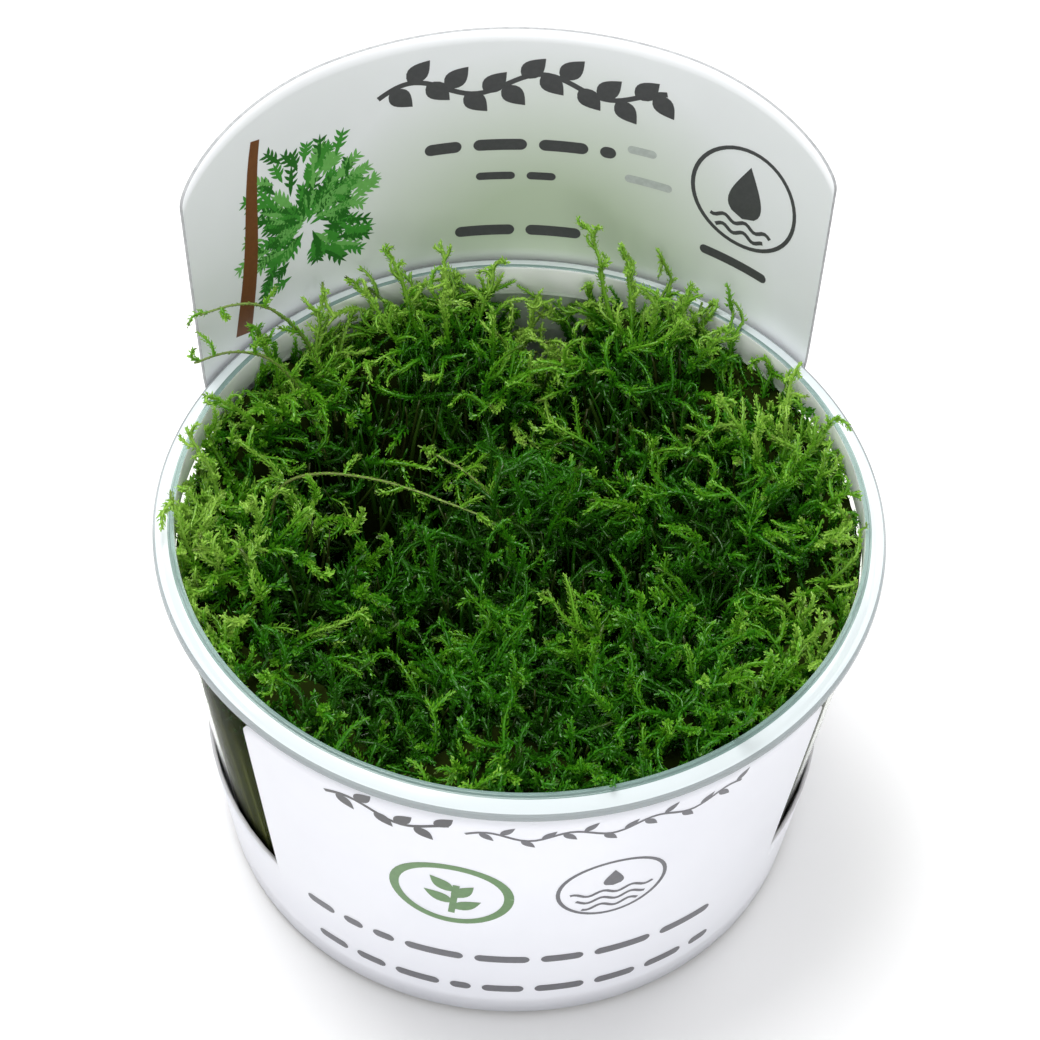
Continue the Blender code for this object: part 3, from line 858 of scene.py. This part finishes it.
class Growth:
    """Collects a tuft's triangles, with a tone and a browning value for each corner."""

    def __init__(self, name):
        self.name = name
        self.tuft = TUFTS[name]
        self.number = NAMES.index(name)
        self.rng = np.random.default_rng(SEED + 1 + self.number)
        self.grown = []
        self.count = 0

    def add(self, points, faces, tones, browns, kind=LIVING):
        points, faces = points.reshape(-1, 3), faces.reshape(-1, 3) + self.count
        kinds = np.full(len(faces), kind, dtype=np.int32)
        self.grown.append((points, faces, tones.reshape(-1), browns.reshape(-1), kinds))
        self.count += len(points)

    def owns(self, places):
        """Whether each place is nearer to this tuft's middle than to another's."""
        return np.linalg.norm(places[:, None, :2] - MIDDLES[None], axis=-1).argmin(1) == self.number

    def mesh(self):
        points, faces, tones, browns, kinds = (np.concatenate(values) for values in zip(*self.grown))
        mesh = bpy.data.meshes.new("moss_" + self.name)
        mesh.vertices.add(len(points))
        mesh.vertices.foreach_set("co", points.astype(np.float32).ravel())
        mesh.loops.add(faces.size)
        mesh.loops.foreach_set("vertex_index", faces.astype(np.int32).ravel())
        mesh.polygons.add(len(faces))
        mesh.polygons.foreach_set("loop_start", np.arange(0, faces.size, 3, dtype=np.int32))
        mesh.polygons.foreach_set("material_index", kinds)
        mesh.update(calc_edges=True)
        tones, browns = (np.clip(values, 0, 1).astype(np.float32) for values in (tones, browns))
        for label, values in (("tone", tones), ("brown", browns)):
            mesh.attributes.new(label, "FLOAT", "POINT").data.foreach_set("value", values)
        # Each face's spot in the OFBake UV map, at a place that its tone and browning give
        spot = np.tile(np.array([(0.0, 0.0), (0.004, 0.0), (0.0, 0.004)]), (len(faces), 1))
        first = np.repeat(faces[:, 0], 3)
        chart = np.stack([0.02 + 0.95 * tones[first], 0.02 + 0.95 * browns[first]], -1) + spot
        layer = mesh.uv_layers.new(name="OFBake")
        layer.data.foreach_set("uv", chart.astype(np.float32).ravel())
        return mesh


# Form of the moss's surface


def bell(x, y, middle, wide, long):
    return np.exp(-(((x - middle[0]) / wide) ** 2) - ((y - middle[1]) / long) ** 2)


def hollow_depth(x, y):
    depth = np.zeros_like(x)
    for (hx, hy), width, deep in HOLLOWS:
        depth = np.maximum(depth, deep * np.exp(-((x - hx) ** 2 + (y - hy) ** 2) / width**2))
    return depth


def darkness(x, y):
    """Depth and painted shade of the dark places at a place."""
    total = np.zeros((2, *np.shape(x)))
    for middle, reach, deep, dark in DARK_PLACES:
        share = bell(x, y, middle, *reach)
        total = np.maximum(total, np.stack([deep * share, dark * share]))
    return total


def shade_at(places):
    total = np.zeros(len(places))
    for middle, reach, amount in SHADES:
        total = total + amount * bell(places[:, 0], places[:, 1], middle, *reach)
    return total


def surface_height(x, y):
    """Height of the moss's crown at a place, without the single shoots that stand out of it."""
    apart = np.hypot(x[..., None] - MIDDLES[:, 0], y[..., None] - MIDDLES[:, 1])
    nearest = apart.argmin(-1)
    share = np.minimum(apart.min(-1) / CROWN_REACH, 1.0)
    crown, shoulder = CROWNS[nearest], SHOULDERS[nearest]
    surface = shoulder + (crown - shoulder) * (1 - share**2.2)
    rim = RIM_SURFACE_Z + BACK_RISE * (y > BACK_FROM_Y)
    surface = np.maximum(surface, rim * smooth_share(np.hypot(x, y), 0.03, 0.041))
    return surface - np.maximum(hollow_depth(x, y), darkness(x, y)[0])


# Shoots


def grow_paths(rng, roots, directions, lengths, steps, curl, rise, wander, kept=True):
    """Centre lines of shoots that curl more towards their tips. If kept, they stay inside the cup."""
    count = len(roots)
    heading = unit(directions)
    axis = unit(rng.normal(size=(count, 3)))
    curls = curl * rng.uniform(0.2, 1.8, (count, 1)) * rng.choice([-1, 1], (count, 1))
    paths = np.empty((count, steps, 3))
    paths[:, 0] = roots
    step = (lengths / (steps - 1))[:, None]
    for i in range(1, steps):
        share = i / steps
        turn = np.cross(axis, heading) * curls * (0.4 + 1.2 * share)
        turn = turn + rng.normal(size=(count, 3)) * wander
        turn[:, 2] += rise
        heading = unit(heading + turn)
        paths[:, i] = paths[:, i - 1] + heading * step
    return keep_inside(paths) if kept else paths


def keep_inside(paths):
    """Keeps shoots within the cup below the rim, and within its flange above it."""
    radius = np.linalg.norm(paths[..., :2], axis=-1)
    z = paths[..., 2]
    wall = np.minimum(wall_inner(z), wall_inner(z + 0.0012))
    room = np.where(z < CREST_Z + 0.0006, wall - 0.0008, 0.0485)
    scale = np.minimum(1.0, room / np.maximum(radius, 1e-9))
    paths[..., :2] *= scale[..., None]
    return paths


def frames_along(paths, rng):
    """Tangent, normal and binormal at each point, turned as little as possible along the path."""
    tangent = unit(np.gradient(paths, axis=1))
    normal = np.empty_like(tangent)
    first = rng.normal(size=(len(paths), 3))
    for i in range(paths.shape[1]):
        t = tangent[:, i]
        first = unit(first - (first * t).sum(-1, keepdims=True) * t)
        normal[:, i] = first
    return tangent, normal, np.cross(tangent, normal)


def sample(values, share):
    """Values along each path at shares from 0 to 1."""
    last = values.shape[1] - 1
    place = share * last
    low = np.minimum(place.astype(int), last - 1)
    part = (place - low)[None, :, None]
    return values[:, low] * (1 - part) + values[:, low + 1] * part


def tube_faces(index):
    """Triangles between the rings of tubes, for corners numbered ring by ring."""
    a, b = index[..., :-1, :], index[..., 1:, :]
    a2, b2 = np.roll(a, -1, -1), np.roll(b, -1, -1)
    return np.stack([np.stack([a, a2, b2], -1), np.stack([a, b2, b], -1)], -2).reshape(-1, 3)


def add_stems(growth, paths, frames, radius, tones, browns, kind=LIVING):
    count, steps, _ = paths.shape
    _, normal, binormal = frames
    angles = 2 * pi * np.arange(STEM_SIDES) / STEM_SIDES
    taper = np.linspace(1.0, 0.5, steps)[None, :, None, None]
    spread = normal[:, :, None] * np.cos(angles)[None, None, :, None]
    spread = spread + binormal[:, :, None] * np.sin(angles)[None, None, :, None]
    points = paths[:, :, None] + spread * (radius[:, None, None, None] * taper)
    index = np.arange(count * steps * STEM_SIDES).reshape(count, steps, STEM_SIDES)
    faces = np.concatenate([tube_faces(index), index[:, -1]])
    shade = np.repeat(tones[:, :, None], STEM_SIDES, 2)
    brown = np.repeat(browns[:, :, None], STEM_SIDES, 2)
    growth.add(points, faces, shade * 0.9, brown, kind)


def add_leaves(growth, paths, frames, leaf, tones, browns, spacing, lean):
    """Small pointed leaves in a spiral round each shoot, folded along the midrib."""
    rng = growth.rng
    length = np.linalg.norm(np.diff(paths, axis=1), axis=-1).sum(1).mean()
    shape = (len(paths), max(4, int(length / spacing)))
    share = np.linspace(0.02, 0.995, shape[1])
    centre = sample(paths, share)
    t, n, b = (unit(sample(v, share)) for v in frames)
    tone = sample(tones[..., None], share)[..., 0]
    brown = sample(browns[..., None], share)[..., 0]
    around = np.arange(shape[1])[None] * SPIRAL + rng.uniform(0, 2 * pi, (shape[0], 1))
    around = around + rng.normal(0, 0.25, shape)
    out = n * np.cos(around)[..., None] + b * np.sin(around)[..., None]
    lean = np.radians(rng.uniform(*lean, shape)) * (1 - 0.35 * share**3)[None]
    along = t * np.cos(lean)[..., None] + out * np.sin(lean)[..., None]
    side = unit(np.cross(along, out))
    reach = leaf[:, None] * (1 - 0.5 * share**5)[None] * rng.uniform(0.7, 1.2, shape)
    half = reach * LEAF_WIDTH * rng.uniform(0.8, 1.2, shape)
    up = np.cross(side, along)
    base = centre + out * 0.0001
    middle = base + along * (reach * 0.42)[..., None] + up * (half * 0.45)[..., None]
    left = middle + side * half[..., None]
    right = middle - side * half[..., None]
    tip = base + along * reach[..., None] - up * (half * 0.2)[..., None]
    points = np.stack([base, left, tip, right], 2)
    index = np.arange(points.size // 3).reshape(*shape, 4)
    faces = np.stack([index[..., [0, 2, 1]], index[..., [0, 3, 2]]], -2)
    shade = (tone + rng.normal(0, 0.045, shape))[..., None] + np.array([-0.14, 0.02, 0.13, 0.02])
    growth.add(points, faces, shade, np.repeat(brown[..., None], 4, 2))


def add_shoots(growth, paths, radius, leaf, bright, brown_tip, spacing, lean=LEAF_LEAN):
    """Stems with their leaves. Shoots of like length are made together, so all get the same spacing."""
    ones = np.ones(len(paths))
    radius, leaf, bright, brown_tip = ones * radius, ones * leaf, ones * bright, ones * brown_tip
    share = np.linspace(0, 1, paths.shape[1])[None]
    # Tone falls with depth below the moss's surface, partly the older growth's darker colour and partly
    # painted shade, and rises a little towards each tip
    depth = surface_height(paths[..., 0], paths[..., 1]) + 0.003 - paths[..., 2]
    tones = bright[:, None] * (1 - 0.88 * smooth_share(depth, -0.001, 0.0145)) + 0.1 * share
    browns = brown_tip[:, None] * smooth_share(share, 0.78, 1.0)
    frames = frames_along(paths, growth.rng)
    add_stems(growth, paths, frames, radius, tones, browns)
    lengths = np.linalg.norm(np.diff(paths, axis=1), axis=-1).sum(1)
    buckets = (lengths / LENGTH_BUCKET).astype(int)
    for bucket in np.unique(buckets):
        own = buckets == bucket
        own_frames = [axis[own] for axis in frames]
        add_leaves(growth, paths[own], own_frames, leaf[own], tones[own], browns[own], spacing, lean)


def add_fronds(growth, main, bright, sides, side_length, leaf=LEAF_LENGTH):
    """Main shoots with side shoots to alternate sides in the plane of each frond."""
    rng = growth.rng
    count, steps, _ = main.shape
    brown = (rng.random(count) < 0.22) * rng.uniform(0.3, 0.9, count)
    add_shoots(growth, main, MAIN_STEM, leaf * 1.1, bright, brown, MAIN_LEAF_SPACING)
    plane = unit(rng.normal(size=(count, 3)))
    for number in range(sides):
        share = 0.28 + 0.62 * number / max(sides - 1, 1)
        index = min(int(share * (steps - 1)), steps - 2)
        part = share * (steps - 1) - index
        start = main[:, index] * (1 - part) + main[:, index + 1] * part
        along = unit(main[:, index + 1] - main[:, index])
        across = unit(np.cross(along, plane)) * (1 if number % 2 else -1)
        tilt = np.radians(rng.uniform(35, 75, (count, 1)))
        way = along * np.cos(tilt) + (across + rng.normal(0, 0.3, (count, 3))) * np.sin(tilt)
        length = side_length * rng.uniform(0.55, 1.35, count) * (1.2 - 0.65 * share)
        side = grow_paths(rng, start, way, length, 9, 0.3, 0.06, 0.12)
        brown = (rng.random(count) < 0.22) * rng.uniform(0.2, 0.9, count)
        lit = bright + rng.normal(0, 0.06, count)
        add_shoots(growth, side, SIDE_STEM, leaf, lit, brown, SIDE_LEAF_SPACING)


def on_circle(radius, angle):
    return np.stack([radius * np.cos(angle), radius * np.sin(angle)], -1)


def wall_ways(places):
    """Ways outward and along the wall, which grow to a length of one beside it."""
    x, y = places[:, :2].T / 0.045
    return np.stack([x, y, 0 * x], -1), np.stack([-y, x, 0 * x], -1)


def beside_gap(places, y):
    return np.hypot(places[:, 0] - GAP_X, places[:, 1] - y) >= GAP_RADIUS


# Clumps of fronds

CLUMP_COUNT = 100
CLUMP_REACH = 0.044
CLUMP_SHIFT = 0.0013
CLUMP_FRONDS = 8


def clump_places():
    """Places of the clumps: a sunflower's pattern, with each one moved a little."""
    number = np.arange(CLUMP_COUNT)
    radius = CLUMP_REACH * np.sqrt((number + 0.5) / CLUMP_COUNT)
    angle = number * radians(137.508)
    shift = CLUMP_SHIFT * np.stack([np.sin(number * 12.9), np.sin(number * 78.2)], -1)
    return on_circle(radius, angle) + shift


def add_clumps(growth):
    rng = growth.rng
    clumps = clump_places()
    centres = clumps[growth.owns(clumps)]
    count = len(centres)
    lift = rng.normal(0.0, 0.0018, count)
    shade = rng.normal(0, 0.07, count)
    which = np.repeat(np.arange(count), CLUMP_FRONDS)
    total = len(which)
    turn = np.tile(np.arange(CLUMP_FRONDS) * 2 * pi / CLUMP_FRONDS, count) + rng.uniform(0, 6.28, total)
    fan = np.stack([np.cos(turn), np.sin(turn), 0 * turn], -1)
    share_dark = darkness(*centres.T)[1][which] / DEEPEST_PAINTED_SHADE
    kept = rng.random(total) > 0.45 * share_dark
    which, fan, total = which[kept], fan[kept], int(kept.sum())
    centre = centres[which]
    top = surface_height(*centre.T) + lift[which]
    length = rng.uniform(0.013, 0.021, total)
    spread = rng.uniform(0.0005, 0.0028, total)
    stand = rng.uniform(-0.002, 0.0055, total)
    roots = np.column_stack([centre, top + stand - length * 0.88]) + fan * spread[:, None]
    outward, _ = wall_ways(centre)
    edge = np.linalg.norm(outward, axis=-1, keepdims=True)
    heading = UP + fan * rng.uniform(0.05, 0.55, (total, 1)) + outward * edge * 0.55
    main = grow_paths(rng, roots, heading, length, 14, 0.3, 0.04, 0.09)
    bright = growth.tuft.bright + shade[which] + rng.normal(0, 0.05, total)
    # Less tone in the dark places, as painted shade, and the paler and darker patches, partly painted
    # light
    bright = bright - darkness(*centre.T)[1] + shade_at(centre)
    add_fronds(growth, main, bright, 3, 0.0075, LEAF_LENGTH * growth.tuft.leaf)
    place = roots + rng.normal(0, 0.0025, (total, 3))
    way = UP * 0.5 + rng.normal(0, 0.8, (total, 3))
    fill = grow_paths(rng, place, way, rng.uniform(0.006, 0.011, total), 8, 0.2, 0.0, 0.1)
    add_shoots(growth, fill, FILL_STEM, FILL_LEAF_LENGTH, bright, 0, FILL_LEAF_SPACING)


# Growth along the cup's wall

RIM_FROND_STEP = 2.8
RIM_FROND_GAP_Y = 0.04
WALL_SHOOT_STEP = 0.9
WALL_SHOOT_GAP_Y = 0.044
WINDOWS = ((radians(-118), radians(-42)), (radians(52), radians(130)))
WINDOW_STEMS = 90


def add_rim_fronds(growth):
    """Fronds that stand along the cup's wall, except in the gap at the back."""
    rng = growth.rng
    angle = np.arange(0, 360, RIM_FROND_STEP)
    angle = np.radians(angle + rng.uniform(-1.5, 1.5, len(angle)))
    radius = rng.uniform(0.04, 0.0438, len(angle))
    place = on_circle(radius, angle)
    place = place[growth.owns(place) & beside_gap(place, RIM_FROND_GAP_Y)]
    count = len(place)
    outward, along = wall_ways(place)
    top = surface_height(*place.T) + rng.normal(0.0005, 0.0015, count)
    length = rng.uniform(0.011, 0.016, count)
    roots = np.column_stack([place, top + 0.002 - length * 0.95])
    heading = UP + outward * 0.18 + along * rng.normal(0, 0.35, (count, 1))
    main = grow_paths(rng, roots, heading, length, 14, 0.12, 0.03, 0.08)
    bright = growth.tuft.bright + 0.08 + rng.normal(0, 0.07, count) + shade_at(place)
    add_fronds(growth, main, bright, 3, 0.0065, LEAF_LENGTH * growth.tuft.leaf)


def add_wall_shoots(growth):
    """Leafy shoots pressed against the clear wall, up to the ledge."""
    rng = growth.rng
    angle = np.arange(0, 360, WALL_SHOOT_STEP)
    every = len(angle)
    angle = np.radians(angle + rng.uniform(-0.5, 0.5, every))
    inset = rng.uniform(0.0008, 0.0024, every)
    height = rng.uniform(0.038, 0.045, every)
    place = np.column_stack([on_circle(wall_inner(height) - inset, angle), height])
    place = place[growth.owns(place) & beside_gap(place, WALL_SHOOT_GAP_Y)]
    count = len(place)
    outward, along = wall_ways(place)
    heading = UP + outward * 0.14 + along * rng.normal(0, 0.22, (count, 1))
    paths = grow_paths(rng, place, heading, rng.uniform(0.011, 0.017, count), 12, 0.08, 0.04, 0.06)
    bright = growth.tuft.bright - 0.08 + rng.normal(0, 0.08, count) + shade_at(place)
    add_shoots(growth, paths, SIDE_STEM, LEAF_LENGTH, bright, 0, WALL_LEAF_SPACING)


def add_window_stems(growth):
    """Upright stems close behind the clear wall, where the card leaves it bare. Angles count from -Y."""
    rng = growth.rng
    every = (WINDOW_STEMS, 1)
    z = np.linspace(0.003, 0.05, 16)[None]
    for low, high in WINDOWS:
        angle = np.linspace(low, high, WINDOW_STEMS) + rng.normal(0, 0.006, WINDOW_STEMS)
        inset = rng.uniform(0.0004, 0.0016, every)
        sway = rng.normal(0, 0.02, every) * (z / 0.05)
        lean = angle[:, None] + sway + rng.normal(0, 0.004, (WINDOW_STEMS, z.size))
        radius = wall_inner(z) - inset - 0.0003
        paths = np.stack([radius * np.sin(lean), -radius * np.cos(lean), z + 0 * lean], -1)
        own = growth.owns(paths[:, 8])
        if not own.any():
            continue
        paths = paths[own]
        frames = frames_along(paths, rng)
        count = len(paths)
        tones = np.repeat(rng.uniform(0.15, 0.55, (count, 1)), z.size, 1)
        browns = np.repeat(rng.uniform(0.3, 1.0, (count, 1)), z.size, 1)
        add_stems(growth, paths, frames, rng.uniform(0.0002, 0.0004, count), tones, browns)


# Sprigs and bare stems


def smooth_through(points, steps):
    """A path through points in mm, evenly divided, in metres."""
    points = np.array(points) / 1000
    for _ in range(3):
        middle = (points[1:] + points[:-1]) / 2
        new = np.empty((len(points) + len(middle), 3))
        new[0::2], new[1::2] = points, middle
        new[2:-1:2] = new[2:-1:2] * 0.5 + (new[1:-2:2] + new[3::2]) * 0.25
        points = new
    walked = np.concatenate([[0], np.cumsum(np.linalg.norm(np.diff(points, axis=0), axis=1))])
    even = np.linspace(0, walked[-1], steps)
    return np.stack([np.interp(even, walked, points[:, i]) for i in range(3)], -1)


def add_bare_stem(growth, points, leafy):
    """A pale stem with few leaves and five short shoots. Leafy ones have a green lower part."""
    rng = growth.rng
    path = smooth_through(points, 30)[None]
    path = path + np.cumsum(rng.normal(0, 0.00004, path.shape), axis=1)
    add_shoots(growth, path, 0.0002, 0.0006, 0.8, 0.4, 0.00026, (16, 40))
    if leafy:
        add_shoots(growth, path[:, :19], 0.0003, 0.0009, 0.72, 0, 0.00013, (30, 70))
    frames = frames_along(path, rng)
    pale = np.linspace(0.85, 1.05, path.shape[1])[None]
    add_stems(growth, path, frames, np.array([0.00034]), pale, 0 * pale, OLD)
    tip_way = unit(path[:, -1] - path[:, -3])
    starts = path[0, [8, 14, 20, 26, 28]]
    count = len(starts)
    ways = tip_way * 0.6 + rng.normal(0, 0.6, (count, 3)) + UP * 0.8
    length = rng.uniform(0.003, 0.005, count)
    fork = grow_paths(rng, starts, ways, length, 9, 0.25, 0.05, 0.08, kept=False)
    add_shoots(growth, fork, 0.0003, 0.0008, 0.82, 0.7, 0.00014)


def sprig_paths(name):
    """Centre lines of the tuft's long sprigs, on the CAD's own curves."""
    tips = np.array(SPRIG_TIPS[name]) / 1000
    middle = np.array(TUFTS[name].middle)
    way = tips[:, :2] - middle
    root_z = np.full(len(tips), TUFTS[name].crown - 0.014)
    root = np.column_stack([middle + way * 0.25, root_z])
    bend = np.column_stack([middle + way * 0.7, root_z + (tips[:, 2] - root_z) * 0.9])
    t = np.linspace(0, 1, 18)[None, :, None]
    return root[:, None] * (1 - t) ** 2 + bend[:, None] * 2 * t * (1 - t) + tips[:, None] * t * t


def add_sprigs(growth):
    rng = growth.rng
    paths = sprig_paths(growth.name)
    sway = np.cumsum(rng.normal(0, 0.00018, paths.shape), axis=1)
    share = np.linspace(0, 1, paths.shape[1])[None, :, None]
    paths = paths + sway - sway[:, -1:] * share
    bright = growth.tuft.bright + rng.normal(0.05, 0.05, len(paths)) + shade_at(paths[:, -1])
    add_fronds(growth, paths, bright, 7, 0.0042, 0.0008)
    for points in BARE_STEMS.get(growth.name, ()):
        add_bare_stem(growth, points, growth.name != "tuft_left")


# The old growth below the shoots

CORE_SPOKES = 72
CORE_RINGS = 22
CORE_DEPTH = 0.0135
CORE_FOOT_Z = 0.0018
CORE_WALL_RISE = 0.72
CORE_GAP_Y = 0.042
UPRIGHT_SPACING = 0.0023


def cell_reach(name, angle, z):
    """How far the tuft runs from its middle before a neighbour or the cup's wall."""
    x, y = TUFTS[name].middle
    dx, dy = np.cos(angle), np.sin(angle)
    along = x * dx + y * dy
    limit = np.minimum(wall_inner(z), wall_inner(z + 0.001)) - 0.00005
    reach = -along + np.sqrt(along * along + limit * limit - x * x - y * y)
    for other in NAMES:
        if other != name:
            apart = np.array(TUFTS[other].middle) - (x, y)
            distance = np.hypot(*apart)
            facing = (dx * apart[0] + dy * apart[1]) / distance
            reach = np.where(facing > 0, np.minimum(reach, distance / 2 / np.maximum(facing, 1e-6)), reach)
    return reach


def add_core(growth):
    """The dense lower part of the tuft, ridged upright by the stems in it, dark partly by its own colour
    and partly by painted shade.
    """
    rng, name = growth.rng, growth.name
    x, y = growth.tuft.middle
    angle = 2 * pi * np.arange(CORE_SPOKES)[None] / CORE_SPOKES
    ring = np.linspace(0, 1, CORE_RINGS)[:, None]
    edge = 0.95 * cell_reach(name, angle, 0.045 + 0 * angle)
    edge_x, edge_y = x + edge * np.cos(angle), y + edge * np.sin(angle)
    by_wall = smooth_share(np.hypot(edge_x, edge_y), 0.036, 0.042)
    by_wall = by_wall * np.clip(np.hypot(edge_x - GAP_X, edge_y - CORE_GAP_Y) / 0.008 - 0.4, 0.0, 1.0)
    top = surface_height(edge_x, edge_y) - CORE_DEPTH * (1 - CORE_WALL_RISE * by_wall)
    z = CORE_FOOT_Z + (top - CORE_FOOT_Z) * np.minimum(ring / 0.8, 1.0)
    reach = cell_reach(name, angle, z)
    ridges = rng.random((1, CORE_SPOKES)) * 0.0003 + rng.random((CORE_RINGS, CORE_SPOKES)) * 0.0001
    closing = np.sqrt(np.clip(1 - ((ring - 0.8) / 0.2).clip(0, 1) ** 2, 0.0001, 1))
    reach = (reach - ridges) * closing
    points = np.stack([x + reach * np.cos(angle), y + reach * np.sin(angle), z + 0 * reach], -1)
    sunk = points[..., 2] - hollow_depth(points[..., 0], points[..., 1]) * 0.5
    points[..., 2] = np.where(ring > 0.8, np.minimum(points[..., 2], sunk), points[..., 2])
    faces = tube_faces(np.arange(CORE_RINGS * CORE_SPOKES).reshape(CORE_RINGS, CORE_SPOKES))
    # Pale streaks low down; the upper side and top, which show between the shoots, fade to the darkest
    # tone: painted shade
    streak = 0.1 + 0.7 * rng.random((1, CORE_SPOKES)) ** 2
    tone = streak * (1 - smooth_share(ring, 0.5, 0.8)) + 0 * z
    growth.add(points, faces, tone, 0 * z, OLD)


def add_upright_stems(growth):
    """Long old stems between the clumps, seen only where the moss stands open."""
    rng = growth.rng
    line = np.arange(-0.042, 0.0421, UPRIGHT_SPACING)
    place = np.stack(np.meshgrid(line, line), -1).reshape(-1, 2)
    place = place + rng.uniform(-0.5, 0.5, place.shape) * UPRIGHT_SPACING
    place = place[growth.owns(place) & (np.hypot(*place.T) < 0.0415)]
    count = len(place)
    foot = rng.uniform(0.01, 0.016, count)
    top = surface_height(*place.T) + darkness(*place.T)[0] * 0.55
    roots = np.column_stack([place, top - foot - 0.003])
    heading = UP + rng.normal(0, 0.16, (count, 3))
    paths = grow_paths(rng, roots, heading, foot, 8, 0.05, 0.05, 0.05)
    frames = frames_along(paths, rng)
    share = np.linspace(0.35, 1.0, 8)[None]
    brown = np.repeat((rng.random((count, 1)) < 0.45) * rng.uniform(0.3, 0.9, (count, 1)), 8, 1)
    tones = rng.uniform(0.12, 0.42, (count, 1)) * share
    add_stems(growth, paths, frames, rng.uniform(0.00022, 0.00042, count), tones, brown)


def grow_tuft(name):
    growth = Growth(name)
    add_core(growth)
    add_window_stems(growth)
    add_upright_stems(growth)
    add_wall_shoots(growth)
    add_clumps(growth)
    add_rim_fronds(growth)
    add_sprigs(growth)
    add_wall_shoots(growth)
    moss = link("moss_" + name, growth.mesh(), MOSS, DEEP)
    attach(moss, "root")
    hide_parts(name)
    return moss


add_camera()
add_studio()
build_cup()
build_sleeve()
INKS = {name: ink("ink_" + name, colour) for name, colour in INK_COLOURS.items()}
print_front()
print_header()
MOSS = moss_material()
DEEP = deep_material()
for name in TUFTS:
    grow_tuft(name)
